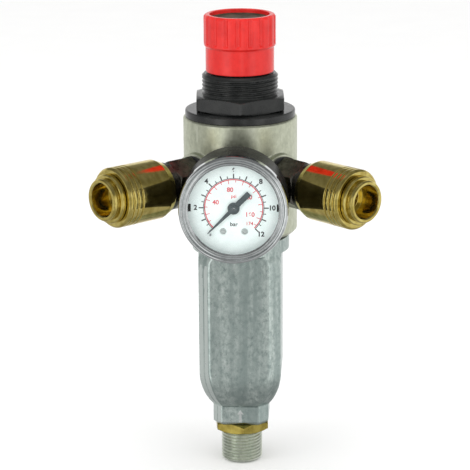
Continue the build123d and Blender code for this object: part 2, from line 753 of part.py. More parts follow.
with BuildPart() as knob:
    turn([
        (KNOB_ROOM_R, SKIRT_BOTTOM),
        (SKIRT_R - SKIRT_EDGE, SKIRT_BOTTOM),
        (SKIRT_R, SKIRT_BOTTOM + SKIRT_EDGE),
        (SKIRT_R, SKIRT_TOP),
        (GRIP_R, GRIP_BOTTOM),
        (GRIP_R, KNOB_TOP - KNOB_CHAMFER),
        (GRIP_R - KNOB_CHAMFER, KNOB_TOP),
        (RECESS_R, KNOB_TOP),
        (RECESS_R, RECESS_FLOOR),
        (SCREW_POCKET_R, RECESS_FLOOR),
        (SCREW_POCKET_R, WEB_TOP),
        (0, WEB_TOP),
        (0, HUB_BOTTOM),
        (HUB_R, HUB_BOTTOM),
        (HUB_R, KNOB_ROOM_TOP),
        (KNOB_ROOM_R, KNOB_ROOM_TOP),
    ])
    prism(Plane.XY.offset(HUB_BOTTOM), WEB_TOP - HUB_BOTTOM, DRIVE_FLATS + 2 * RUNNING_GAP,
          mode=Mode.SUBTRACT)
    with BuildSketch(Plane.XY.offset(FLUTE_BOTTOM)) as flutes:
        with PolarLocations(GRIP_R + FLUTE_OUT, FLUTE_COUNT, start_angle=FLUTE_START):
            Circle(FLUTE_R)
    extrude(flutes.sketch, amount=KNOB_TOP - FLUTE_BOTTOM, mode=Mode.SUBTRACT)
    with BuildSketch(Plane.XY.offset(KNOB_RIB_BOTTOM)) as knob_ribs:
        with PolarLocations(KNOB_ROOM_R, LOCK_RIB_COUNT):
            Rectangle(KNOB_RIB_DEPTH, LOCK_RIB_WIDTH)
    extrude(knob_ribs.sketch, amount=LOCK_RIB_HEIGHT)
save(knob, "knob")

with BuildPart() as knob_screw:
    turn([
        (0, SCREW_END),
        (SCREW_R, SCREW_END),
        (SCREW_R, DRIVE_TOP),
        (SCREW_COLLAR_R, DRIVE_TOP),
        (SCREW_COLLAR_R, SCREW_COLLAR_TOP),
        (SCREW_HEAD_R, SCREW_COLLAR_TOP),
        (SCREW_HEAD_R, SCREW_TOP - SCREW_EDGE),
        (SCREW_HEAD_R - SCREW_EDGE, SCREW_TOP),
        (0, SCREW_TOP),
    ])
    with BuildSketch(Plane.XY.offset(SCREW_SLOT_FLOOR)) as cross_slot:
        Rectangle(*SCREW_SLOT)
        Rectangle(*reversed(SCREW_SLOT))
    extrude(cross_slot.sketch, amount=SCREW_TOP - SCREW_SLOT_FLOOR, mode=Mode.SUBTRACT)
save(knob_screw, "knob_screw")

with BuildPart() as knob_cap:
    turn([
        (0, RECESS_FLOOR),
        (RECESS_R, RECESS_FLOOR),
        (RECESS_R, CAP_TOP),
        (CAP_GROOVE[1], CAP_TOP),
        (CAP_GROOVE[1] - CAP_GROOVE_SLOPE, CAP_GROOVE_FLOOR),
        (CAP_GROOVE[0] + CAP_GROOVE_SLOPE, CAP_GROOVE_FLOOR),
        (CAP_GROOVE[0], CAP_TOP),
        (0, CAP_TOP),
    ])
save(knob_cap, "knob_cap")

# ---- Rear port plug -----------------------------------------------------------------------

with BuildPart() as rear_plug_seal:
    turn([
        (GAUGE_THREAD_R, GAUGE_FACE),
        (GAUGE_WASHER_R, GAUGE_FACE),
        (GAUGE_WASHER_R, GAUGE_WASHER_END),
        (GAUGE_THREAD_R, GAUGE_WASHER_END),
    ], GAUGE_ORIGIN, BACKWARD)
save(rear_plug_seal, "rear_plug_seal")

with BuildPart() as rear_plug:
    turn([
        (0, GAUGE_THREAD_END),
        (GAUGE_THREAD_R, GAUGE_THREAD_END),
        (GAUGE_THREAD_R, GAUGE_WASHER_END),
        (PLUG_HEAD_R, GAUGE_WASHER_END),
        (PLUG_HEAD_R, PLUG_END - PLUG_EDGE),
        (PLUG_HEAD_R - PLUG_EDGE, PLUG_END),
        (0, PLUG_END),
    ], GAUGE_ORIGIN, BACKWARD)
    prism(face_plane(GAUGE_ORIGIN, BACKWARD, PLUG_END - PLUG_SOCKET_DEPTH), PLUG_SOCKET_DEPTH,
          PLUG_SOCKET_FLATS, mode=Mode.SUBTRACT)
save(rear_plug, "rear_plug")

# ---- Gauge --------------------------------------------------------------------------------


def dial_plane(reach):
    """The plane of the dial at a given reach: X to the right, Y up, seen from the front."""
    return face_plane(GAUGE_ORIGIN, FORWARD, reach)


with BuildPart() as gauge_seal:
    turn([
        (GAUGE_THREAD_R, GAUGE_FACE),
        (GAUGE_WASHER_R, GAUGE_FACE),
        (GAUGE_WASHER_R, GAUGE_WASHER_END),
        (GAUGE_THREAD_R, GAUGE_WASHER_END),
    ], GAUGE_ORIGIN, FORWARD)
save(gauge_seal, "gauge_seal")

with BuildPart() as gauge_stem:
    # threaded end, square for the spanner, and the block that carries tube and movement
    drill(dial_plane(GAUGE_THREAD_END), GAUGE_THREAD_R, GAUGE_WASHER_END - GAUGE_THREAD_END, Mode.ADD)
    prism(dial_plane(GAUGE_WASHER_END), CASE_BACK - GAUGE_WASHER_END, STEM_FLATS, 45, 4)
    drill(dial_plane(CASE_BACK), STEM_BLOCK_R, MOVEMENT_BACK - CASE_BACK, Mode.ADD)
    with BuildSketch(dial_plane(STEM_ARM_BACK)) as tube_arm:
        with Locations(STEM_ARM_CENTRE):
            Rectangle(*STEM_ARM_SIZE)
    extrude(tube_arm.sketch, amount=STEM_ARM_THICK)
    drill(dial_plane(MOVEMENT_BACK - ARBOR_CLEARANCE), 2 * ARBOR_R, ARBOR_CLEARANCE)
    drill(dial_plane(GAUGE_THREAD_END), STEM_PASSAGE_R, STEM_PASSAGE_DEPTH)
save(gauge_stem, "gauge_stem")

with BuildPart() as gauge_case:
    turn([
        (STEM_BLOCK_R, CASE_BACK),
        (CASE_R, CASE_BACK),
        (CASE_R, CASE_FRONT),
        (STEM_BLOCK_R, CASE_FRONT),
    ], GAUGE_ORIGIN, FORWARD)
    # a deep-drawn cup: rounded at the back, open at the front
    fillet(gauge_case.edges().filter_by(GeomType.CIRCLE).group_by(Axis.Y)[-1].sort_by(SortBy.RADIUS)[-1],
           CASE_BACK_ROUND)
    with BuildPart(mode=Mode.PRIVATE) as hollow:
        drill(dial_plane(CASE_BACK + CASE_WALL), CASE_R - CASE_WALL, CASE_FRONT - CASE_BACK, Mode.ADD)
        fillet(hollow.edges().group_by(Axis.Y)[-1], CASE_BACK_ROUND - CASE_WALL)
    add(hollow.part, mode=Mode.SUBTRACT)
save(gauge_case, "gauge_case")

with BuildPart() as gauge_bezel:
    turn([
        (CASE_R, BEZEL_BACK),
        (BEZEL_R - BEZEL_BACK_EDGE, BEZEL_BACK),
        (BEZEL_R, BEZEL_BACK + BEZEL_BACK_EDGE),
        (BEZEL_R, BEZEL_ROLL_START),
        *BEZEL_ROLL,
        (BEZEL_OPENING_R, BEZEL_LIP_FRONT),
        (BEZEL_OPENING_R, LENS_FRONT),
        (CASE_R, LENS_FRONT),
    ], GAUGE_ORIGIN, FORWARD)
save(gauge_bezel, "gauge_bezel")

with BuildPart() as gauge_lens:
    turn([
        (0, CASE_FRONT),
        (LENS_R, CASE_FRONT),
        (LENS_R, LENS_FRONT),
        (0, LENS_FRONT),
    ], GAUGE_ORIGIN, FORWARD)
save(gauge_lens, "gauge_lens")

with BuildPart() as gauge_dial:
    drill(dial_plane(DIAL_BACK), DIAL_R, DIAL_FRONT - DIAL_BACK, Mode.ADD)
    with BuildSketch(dial_plane(DIAL_BACK)) as dial_holes:
        Circle(DIAL_HOLE_R)
        with Locations(*RIVETS):
            Circle(RIVET_R)
        # a notch at each side lets the rim of the dial clear the case crimps
        with Locations((-DIAL_R, 0), (DIAL_R, 0)):
            Rectangle(*DIAL_NOTCH)
    extrude(dial_holes.sketch, amount=DIAL_FRONT - DIAL_BACK, mode=Mode.SUBTRACT)
save(gauge_dial, "gauge_dial")

with BuildPart() as dial_screws:
    # two screws that hold the dial on the movement's front plate
    with BuildSketch(dial_plane(MOVEMENT_FRONT + PLATE_THICK)) as shanks:
        with Locations(*RIVETS):
            Circle(RIVET_R)
    extrude(shanks.sketch, amount=DIAL_FRONT - MOVEMENT_FRONT - PLATE_THICK)
    with BuildSketch(dial_plane(DIAL_FRONT)) as heads:
        with Locations(*RIVETS):
            Circle(RIVET_HEAD_R)
    extrude(heads.sketch, amount=RIVET_HEAD_THICK)
save(dial_screws, "dial_screws")

with BuildPart() as dial_stop_pin:
    pin_angle = radians(STOP_PIN_ANGLE)
    with BuildSketch(dial_plane(DIAL_FRONT)) as pin_section:
        with Locations((STOP_PIN_REACH * cos(pin_angle), STOP_PIN_REACH * sin(pin_angle))):
            Circle(STOP_PIN_R)
    extrude(pin_section.sketch, amount=STOP_PIN_LENGTH)
save(dial_stop_pin, "dial_stop_pin")

# Movement: two plates on pillars carry the pinion's arbor and the sector's arbor

for plate_name, plate_back in (
    ("movement_back_plate", MOVEMENT_BACK),
    ("movement_front_plate", MOVEMENT_FRONT),
):
    with BuildPart() as plate:
        with BuildSketch(dial_plane(plate_back)) as plate_section:
            with Locations(MOVEMENT_PLATE_CENTRE):
                RectangleRounded(*MOVEMENT_PLATE_SIZE, MOVEMENT_PLATE_CORNER)
            with Locations((0, 0), SECTOR_PIVOT):
                Circle(ARBOR_R + RUNNING_GAP, mode=Mode.SUBTRACT)
        extrude(plate_section.sketch, amount=PLATE_THICK)
        # pillars staked into the back plate reach to the front plate
        if plate_back == MOVEMENT_BACK:
            with BuildSketch(dial_plane(plate_back)) as pillar_section:
                with Locations(*PILLARS):
                    Circle(PILLAR_R)
            extrude(pillar_section.sketch, amount=MOVEMENT_FRONT - MOVEMENT_BACK)
    save(plate, plate_name)

with BuildPart() as bourdon_tube:
    # a flattened tube bent to a C: one end in the stem's arm, the other closed by a tip
    with BuildSketch(dial_plane(TUBE_BACK)) as tube_section:
        with BuildLine():
            outer = CenterArc((0, 0), BOURDON_R[1], *BOURDON_SWEEP)
            inner = CenterArc((0, 0), BOURDON_R[0], *BOURDON_SWEEP)
            Line(outer @ 0, inner @ 0)
            Line(outer @ 1, inner @ 1)
        make_face()
        with Locations(BOURDON_SOCKET_CENTRE):
            Rectangle(*BOURDON_SOCKET_SIZE, mode=Mode.SUBTRACT)
    extrude(tube_section.sketch, amount=TUBE_WIDTH)
save(bourdon_tube, "bourdon_tube")


def tooth_centres(first, count, pitch):
    """Directions of a row of gear teeth, in degrees."""
    return [first + k * pitch for k in range(count)]


def add_teeth(centre, root_r, tip_r, directions):
    """Add straight-sided teeth to the sketch being built."""
    for direction in directions:
        angle = radians(direction)
        along = Vector(cos(angle), sin(angle))
        across = Vector(-sin(angle), cos(angle))
        middle = Vector(*centre)
        foot = middle + along * (root_r - 0.1)
        tip = middle + along * tip_r
        with BuildSketch(mode=Mode.PRIVATE) as tooth:
            with BuildLine():
                Polyline(
                    foot - across * TOOTH_ROOT_WIDTH / 2,
                    tip - across * TOOTH_TIP_WIDTH / 2,
                    tip + across * TOOTH_TIP_WIDTH / 2,
                    foot + across * TOOTH_ROOT_WIDTH / 2,
                    close=True,
                )
            make_face()
        add(tooth.sketch)


with BuildPart() as pinion_arbor:
    # a gap between two teeth faces the sector at rest
    with BuildSketch(dial_plane(GEAR_BACK - 1)) as pinion_section:
        Circle(PINION_PITCH_R - GEAR_DEDENDUM)
        add_teeth((0, 0), PINION_PITCH_R - GEAR_DEDENDUM, PINION_PITCH_R + GEAR_ADDENDUM,
                  tooth_centres(MESH_DIRECTION - 180 + PINION_STEP / 2, PINION_TEETH, PINION_STEP))
    extrude(pinion_section.sketch, amount=GEAR_THICK + 2)
    drill(dial_plane(MOVEMENT_BACK - 1), ARBOR_R, POINTER_BACK + POINTER_THICK - MOVEMENT_BACK + 1,
          Mode.ADD)
save(pinion_arbor, "pinion_arbor")

with BuildPart() as sector_gear:
    # toothed arc, two arms and a tail for the link, on an arbor of its own
    rim_low = MESH_DIRECTION - 8.6 * WHEEL_STEP
    rim_high = MESH_DIRECTION + 1.6 * WHEEL_STEP
    tail_direction = MESH_DIRECTION - WHEEL_STEP * 3.75 + 180
    with BuildSketch(dial_plane(GEAR_BACK)) as sector_section:
        with Locations(SECTOR_PIVOT):
            with BuildLine():
                rim_outer = CenterArc(SECTOR_PIVOT, WHEEL_PITCH_R - GEAR_DEDENDUM, rim_low,
                                      rim_high - rim_low)
                Line(rim_outer @ 1, SECTOR_PIVOT)
                Line(SECTOR_PIVOT, rim_outer @ 0)
        make_face()
        with Locations(SECTOR_PIVOT):
            Circle(SECTOR_HUB_R)
        add_teeth(SECTOR_PIVOT, WHEEL_PITCH_R - GEAR_DEDENDUM, WHEEL_PITCH_R + GEAR_ADDENDUM,
                  tooth_centres(MESH_DIRECTION - 8 * WHEEL_STEP, 10, WHEEL_STEP))
        tail = radians(tail_direction)
        tail_middle = Vector(*SECTOR_PIVOT) + Vector(cos(tail), sin(tail)) * SECTOR_TAIL / 2
        with Locations(tail_middle):
            Rectangle(SECTOR_TAIL, SECTOR_HUB_R, rotation=tail_direction)
    extrude(sector_section.sketch, amount=GEAR_THICK)
    arbor_plane = dial_plane(MOVEMENT_BACK)
    with BuildSketch(arbor_plane) as sector_arbor:
        with Locations(SECTOR_PIVOT):
            Circle(ARBOR_R)
    extrude(sector_arbor.sketch, amount=MOVEMENT_FRONT + PLATE_THICK - MOVEMENT_BACK)
save(sector_gear, "sector_gear")

with BuildPart() as link_bar:
    # joins the sector's tail to the tip of the bourdon tube
    tail_end = Vector(*SECTOR_PIVOT) + Vector(cos(tail), sin(tail)) * LINK_REACH
    tip_end = Vector(*LINK_TIP)
    span = tip_end - tail_end
    with BuildSketch(dial_plane(GEAR_BACK + GEAR_THICK)) as link_section:
        with Locations((tail_end + tip_end) / 2):
            SlotCenterToCenter(span.length, LINK_WIDTH, rotation=degrees(asin(span.Y / span.length)))
    extrude(link_section.sketch, amount=LINK_THICK)
save(link_bar, "link_bar")

with BuildPart() as pointer:
    with BuildSketch(dial_plane(POINTER_BACK)) as pointer_section:
        with BuildSketch(mode=Mode.PRIVATE) as needle:
            with BuildLine():
                Polyline(
                    (POINTER_LENGTH, 0.15),
                    (2.0, 0.75),
                    (-2.0, 0.75),
                    (-2.0, 1.05),
                    (-POINTER_TAIL, 1.05),
                    (-POINTER_TAIL, -1.05),
                    (-2.0, -1.05),
                    (-2.0, -0.75),
                    (2.0, -0.75),
                    (POINTER_LENGTH, -0.15),
                    close=True,
                )
            make_face()
        add(needle.sketch, rotation=ZERO_ANGLE)
        Circle(2.3)
        Circle(ARBOR_R, mode=Mode.SUBTRACT)
    extrude(pointer_section.sketch, amount=POINTER_THICK)
    with BuildSketch(dial_plane(POINTER_BACK)) as hub_section:
        Circle(1.3)
        Circle(ARBOR_R, mode=Mode.SUBTRACT)
    extrude(hub_section.sketch, amount=0.8)
save(pointer, "pointer")

# ---- Quick couplings ----------------------------------------------------------------------

for side_name, side in SIDES.items():
    port_origin = (0, 0, OUTLET_HEIGHT)
    outward = outlet_direction(side)
    washer_end = OUTLET_FACE + WASHER_THICK

    with BuildPart() as port_seal:
        turn([
            (OUTLET_THREAD_R, OUTLET_FACE),
            (OUTLET_BOSS_R - 1, OUTLET_FACE),
            (OUTLET_BOSS_R - 1, washer_end),
            (OUTLET_THREAD_R, washer_end),
        ], port_origin, outward)
    save(port_seal, f"{side_name}_port_seal")

    with BuildPart() as adapter:
        # corners up and down, so that flats pass the gauge case
        prism(face_plane(port_origin, outward, washer_end), ADAPTER_HEX_END - washer_end,
              COUPLING_FLATS, 30)
        crown(COUPLING_FLATS, washer_end, ADAPTER_HEX_END, 0, port_origin, outward, bevel=0.8)
        turn([
            (0, THREAD_FLOOR + 0.5),
            (OUTLET_THREAD_R - 0.6, THREAD_FLOOR + 0.5),
            (OUTLET_THREAD_R, THREAD_FLOOR + 1.1),
            (OUTLET_THREAD_R, ADAPTER_HEX_END - 1),
            (COUPLING_FLATS / 2, ADAPTER_HEX_END),
            (BARREL_R, BARREL_START),
            (BARREL_R, BARREL_END),
            (JOINT_R, BARREL_END),
            (JOINT_R, JOINT_END),
            (0, JOINT_END),
        ], port_origin, outward)
        turn([
            (0, THREAD_FLOOR),
            (ADAPTER_BORE_R, THREAD_FLOOR),
            (ADAPTER_BORE_R, SPRING_BORE_FLOOR),
            (SPRING_BORE_R, SPRING_BORE_FLOOR),
            (SPRING_BORE_R, JOINT_END),
            (0, JOINT_END),
        ], port_origin, outward, Mode.SUBTRACT)
    save(adapter, f"{side_name}_adapter")

    with BuildPart() as nose_tube:
        turn([
            (JOINT_R + RUNNING_GAP, BARREL_END),
            (TUBE_R, BARREL_END),
            (TUBE_R, NOSE_START),
            (NOSE_R, NOSE_START),
            (NOSE_R, NOSE_END - 0.4),
            (NOSE_R - 0.4, NOSE_END),
            (LIP_R - 0.4, NOSE_END),
            (LIP_R - 0.4, NOSE_END + 0.6),
            (LIP_R, NOSE_END + 1.0),
            (LIP_R, LIP_END - 0.3),
            (LIP_R - 0.3, LIP_END),
            (SOCKET_R + 0.4, LIP_END),
            (SOCKET_R, LIP_END - 0.4),
            (SOCKET_R, SOCKET_FLOOR),
            (SEAT_R, SOCKET_FLOOR),
            (SEAT_R, SOCKET_FLOOR - 2.0),
            (SEAT_R + 1.2, SOCKET_FLOOR - 2.0),
            (SEAT_R + 1.2, SOCKET_FLOOR - 4.0),
            (SEAT_R, SOCKET_FLOOR - 4.0),
            (SEAT_R, VALVE_SEAT),
            (VALVE_ROOM_R, VALVE_SEAT),
            (VALVE_ROOM_R, JOINT_END),
            (JOINT_R + RUNNING_GAP, JOINT_END),
        ], port_origin, outward)
        with Locations(face_plane(port_origin, outward, BALL_REACH)):
            with PolarLocations(BALL_CIRCLE_R, BALL_COUNT):
                Cylinder(BALL_R + RUNNING_GAP, 4, rotation=(0, 90, 0), mode=Mode.SUBTRACT)
    save(nose_tube, f"{side_name}_nose_tube")

    with BuildPart() as lock_balls:
        with Locations(face_plane(port_origin, outward, BALL_REACH)):
            with PolarLocations(BALL_CIRCLE_R, BALL_COUNT):
                Sphere(BALL_R)
    save(lock_balls, f"{side_name}_lock_balls")

    with BuildPart() as plug_seal:
        turn([
            (SEAT_R - 0.2, SOCKET_FLOOR - 3.7),
            (SEAT_R + 1.2, SOCKET_FLOOR - 4.0),
            (SEAT_R + 1.2, SOCKET_FLOOR - 2.0),
            (SEAT_R - 0.2, SOCKET_FLOOR - 2.3),
        ], port_origin, outward)
    save(plug_seal, f"{side_name}_plug_seal")

    with BuildPart() as check_valve:
        turn([
            (0, VALVE_SEAT),
            (CHECK_VALVE_R, VALVE_SEAT),
            (CHECK_VALVE_R, CHECK_VALVE_BACK),
            (CHECK_VALVE_TAIL_R, CHECK_VALVE_BACK),
            (CHECK_VALVE_TAIL_R, CHECK_VALVE_TAIL_END),
            (0, CHECK_VALVE_TAIL_END),
        ], port_origin, outward)
    save(check_valve, f"{side_name}_check_valve")

    with BuildPart() as check_spring:
        coil(SPRING_BORE_FLOOR, CHECK_VALVE_BACK, *CHECK_COIL, port_origin, outward)
    save(check_spring, f"{side_name}_check_spring")

    with BuildPart() as sleeve:
        turn([
            (BARREL_R + SLIDING_GAP, SLEEVE_BACK),
            (SLEEVE_BACK_R, SLEEVE_BACK),
            (SLEEVE_R, SLEEVE_TAPER_END),
            (SLEEVE_R, SLEEVE_FRONT - SLEEVE_EDGE),
            (SLEEVE_R - SLEEVE_EDGE, SLEEVE_FRONT),
            (TUBE_R + SLIDING_GAP, SLEEVE_FRONT),
            (TUBE_R + SLIDING_GAP, SLEEVE_STEP),
            (BARREL_R + SLIDING_GAP, SLEEVE_STEP),
        ], port_origin, outward)
        for groove in SLEEVE_GROOVES:
            turn([
                (SLEEVE_R - SLEEVE_GROOVE_DEPTH, groove),
                (SLEEVE_R + 1, groove),
                (SLEEVE_R + 1, groove + SLEEVE_GROOVE_WIDTH),
                (SLEEVE_R - SLEEVE_GROOVE_DEPTH, groove + SLEEVE_GROOVE_WIDTH),
            ], port_origin, outward, Mode.SUBTRACT)
    save(sleeve, f"{side_name}_sleeve")

    with BuildPart() as sleeve_spring:
        coil(BARREL_END, SLEEVE_STEP, *SLEEVE_COIL, port_origin, outward)
    save(sleeve_spring, f"{side_name}_sleeve_spring")
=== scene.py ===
import json
import math

import bmesh
import bpy
from mathutils import Matrix, Vector


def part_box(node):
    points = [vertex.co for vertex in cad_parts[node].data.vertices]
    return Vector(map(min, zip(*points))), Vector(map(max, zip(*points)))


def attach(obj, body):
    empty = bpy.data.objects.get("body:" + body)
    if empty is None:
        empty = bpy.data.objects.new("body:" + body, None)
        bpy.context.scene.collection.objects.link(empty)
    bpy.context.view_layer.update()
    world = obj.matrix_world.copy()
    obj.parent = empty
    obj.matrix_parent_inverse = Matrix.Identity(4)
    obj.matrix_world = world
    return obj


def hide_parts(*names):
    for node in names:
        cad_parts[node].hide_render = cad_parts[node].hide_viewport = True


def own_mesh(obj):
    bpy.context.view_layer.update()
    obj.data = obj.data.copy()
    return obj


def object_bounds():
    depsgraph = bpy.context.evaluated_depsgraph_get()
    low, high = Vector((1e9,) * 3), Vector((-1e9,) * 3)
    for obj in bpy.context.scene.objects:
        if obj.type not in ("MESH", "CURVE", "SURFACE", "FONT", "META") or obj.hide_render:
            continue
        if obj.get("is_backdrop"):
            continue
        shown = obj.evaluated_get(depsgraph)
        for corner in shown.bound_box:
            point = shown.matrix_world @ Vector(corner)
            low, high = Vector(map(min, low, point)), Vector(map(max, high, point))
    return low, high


# Looks for the carbon dioxide regulator. Lengths below are millimetres in the row frame, and
# "reach" is a distance from the main axis out along a port, as in the CAD source.

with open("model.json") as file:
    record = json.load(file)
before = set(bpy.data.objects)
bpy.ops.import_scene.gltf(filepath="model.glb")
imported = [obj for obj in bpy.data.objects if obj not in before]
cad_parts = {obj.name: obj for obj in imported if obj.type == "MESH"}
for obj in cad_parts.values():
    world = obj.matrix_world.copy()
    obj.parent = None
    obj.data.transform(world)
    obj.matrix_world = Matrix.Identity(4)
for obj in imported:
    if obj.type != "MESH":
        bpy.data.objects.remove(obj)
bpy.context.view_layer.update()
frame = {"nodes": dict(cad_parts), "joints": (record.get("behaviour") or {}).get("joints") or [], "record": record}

MM = 0.001
MOUNTS = {m["name"]: m for m in frame["record"]["mounts"]}
JOINTS = {j["name"]: j for j in frame["joints"]}

UP = Vector((0, 0, 1))
GAUGE_CENTRE = Vector((0, 0, JOINTS["pointer_turn"]["pos_m"][2] / MM))
MAIN = (Vector((0, 0, 0)), UP)
FRONT = (GAUGE_CENTRE, Vector((0, -1, 0)))
REAR = (GAUGE_CENTRE, Vector((0, 1, 0)))


def outlet(side):
    """Origin on the main axis and outward direction of the left or right outlet."""
    mount = MOUNTS[f"{side}_outlet_socket"]
    return Vector((0, 0, mount["pos_m"][2] / MM)), Vector(mount["axis"]).normalized()


def top(node):
    """Highest Z of a CAD node."""
    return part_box(node)[1].z / MM


def bottom(node):
    """Lowest Z of a CAD node."""
    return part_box(node)[0].z / MM


# ---- Shape helpers ------------------------------------------------------------------------


def across(axis):
    """Two directions square to an axis: to the right and up, seen against the axis."""
    if abs(axis.z) > 0.5:
        return Vector((1, 0, 0)), Vector((0, 1, 0))
    return UP.cross(axis), UP.copy()


def smooth_min(a, b, k):
    """The smaller of two numbers, blended over a band k."""
    h = max(k - abs(a - b), 0) / k
    return min(a, b) - h * h * k / 4


def smooth_max(a, b, k):
    return -smooth_min(-a, -b, k)


def ramp(x, low, high):
    """0 below low, 1 above high, smooth between."""
    t = min(max((x - low) / (high - low), 0), 1)
    return t * t * (3 - 2 * t)


def polygon(angle, flats, corner, sides=6):
    """Radius of a regular polygon in a direction, given its size across flats."""
    step = 2 * math.pi / sides
    turned = (angle - corner) % step - step / 2
    return flats / 2 / math.cos(turned)


def rounded(outline, soft):
    """A closed (radius, distance[, corner radius]) outline with its corners rounded."""
    points = []
    count = len(outline)
    for i, corner in enumerate(outline):
        before = Vector(outline[i - 1][:2])
        here = Vector(corner[:2])
        after = Vector(outline[(i + 1) % count][:2])
        radius = corner[2] if len(corner) > 2 else soft
        back, ahead = before - here, after - here
        if radius <= 0 or here.x < 1e-6 or back.length < 1e-6 or ahead.length < 1e-6:
            points.append(here)
            continue
        angle = back.angle(ahead)
        if angle > math.radians(176) or angle < math.radians(3):
            points.append(here)
            continue
        cut = min(radius / math.tan(angle / 2), 0.45 * back.length, 0.45 * ahead.length)
        start = here + back.normalized() * cut
        end = here + ahead.normalized() * cut
        for k in range(5):
            t = k / 4
            points.append(start * (1 - t) ** 2 + here * 2 * t * (1 - t) + end * t * t)
    return points


def steps(low, high, count):
    """Evenly spaced numbers, both ends included."""
    return [low + (high - low) * k / count for k in range(count + 1)]


def new_piece(name, mesh, body, nodes, look, crease=40):
    """Link a mesh as a finished piece that rides on a body and stands for CAD nodes."""
    mesh.polygons.foreach_set("use_smooth", [True] * len(mesh.polygons))
    mesh.set_sharp_from_angle(angle=math.radians(crease))
    piece = bpy.data.objects.new(name, mesh)
    bpy.context.scene.collection.objects.link(piece)
    piece.data.materials.append(look)
    shading = piece.modifiers.new("shading", "WEIGHTED_NORMAL")
    shading.keep_sharp = True
    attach(piece, body)
    if nodes:
        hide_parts(*nodes)
    return piece


def to_mesh(name, bm):
    """Clean a bmesh, point its normals outward and turn it into a mesh."""
    bmesh.ops.remove_doubles(bm, verts=bm.verts, dist=1e-7)
    loose = [e for e in bm.edges if not e.link_faces]
    bmesh.ops.delete(bm, geom=loose, context="EDGES")
    bmesh.ops.recalc_face_normals(bm, faces=bm.faces)
    mesh = bpy.data.meshes.new(name)
    bm.to_mesh(mesh)
    bm.free()
    return mesh


def revolve(name, outline, base, turns=144, soft=0.15, shape=None):
    """Revolve a closed outline. shape(radius, distance, angle) may change each point's radius."""
    origin, axis = base
    right, up = across(axis)
    angles = turns if isinstance(turns, list) else [2 * math.pi * k / turns for k in range(turns)]
    bm = bmesh.new()
    rows = []
    for radius, distance in rounded(outline, soft):
        row = []
        for angle in angles:
            r = shape(radius, distance, angle) if shape else radius
            place = origin + axis * distance + (right * math.cos(angle) + up * math.sin(angle)) * r
            row.append(bm.verts.new(place * MM))
        rows.append(row)
    for i, row in enumerate(rows):
        following = rows[(i + 1) % len(rows)]
        for j in range(len(angles)):
            k = (j + 1) % len(angles)
            bm.faces.new((row[j], row[k], following[k], following[j]))
    return to_mesh(name, bm)


def turned(name, outline, base, body, nodes, slot, look, **options):
    """A revolved piece, linked and riding on its body."""
    crease = options.pop("crease", 40)
    return new_piece(name, revolve(name, outline, base, **options), body, nodes, look, crease)


def thread(radius, low, high, pitch, depth, fade):
    """A shape for revolve(): a helical groove on the wall at a radius, between two heights."""
    def shape(r, d, angle):
        if abs(r - radius) > 1e-6 or not low <= d <= high:
            return r
        u = (d / pitch - angle / (2 * math.pi)) % 1
        flank = min(max(abs(2 * u - 1) * 1.5 - 0.25, 0), 1)
        run = min(ramp(d, low, low + fade), 1 - ramp(d, high - fade, high))
        return r - depth * (1 - flank) * run
    return shape


SEAT_GAP = 0.05                        # between a spring's ends and its seats
WIRE_SIDES, TURN_STEPS = 12, 44        # facets round a spring's wire, rings in each turn
EVEN_SHARE, CLOSED_SHARE = 0.45, 0.55  # how evenly a spring's turns are spread, and how closed


def coiled(node, base, low, high, radius, wire, turns, look):
    """A compression spring with closed, ground ends.

    low and high are its seats. The coil stands SEAT_GAP clear of both: ends flush with them
    count as touching at rest, which would hide an overlap at the joint's limit.
    """
    origin, axis = base
    low, high = low + SEAT_GAP, high - SEAT_GAP
    right, up = across(axis)
    bm = bmesh.new()
    rings = []
    for share in steps(0, 1, int(turns * TURN_STEPS)):
        angle = 2 * math.pi * turns * share
        radial = right * math.cos(angle) + up * math.sin(angle)
        spread = EVEN_SHARE * share + CLOSED_SHARE * ramp(share, 0, 1)
        middle = low + wire + (high - low - 2 * wire) * spread
        ring = []
        for b in steps(0, 2 * math.pi, WIRE_SIDES)[:-1]:
            along = min(max(middle + wire * math.sin(b), low), high)
            place = origin + axis * along + radial * (radius + wire * math.cos(b))
            ring.append(bm.verts.new(place * MM))
        rings.append(ring)
    for first, second in zip(rings, rings[1:]):
        for i in range(WIRE_SIDES):
            k = (i + 1) % WIRE_SIDES
            bm.faces.new((first[i], first[k], second[k], second[i]))
    bm.faces.new(rings[0])
    bm.faces.new(rings[-1])
    name = f"{node}_coil"
    piece = new_piece(name, to_mesh(name, bm), "root", [node], look, 50)
    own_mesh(piece)


# ---- Material helpers ---------------------------------------------------------------------


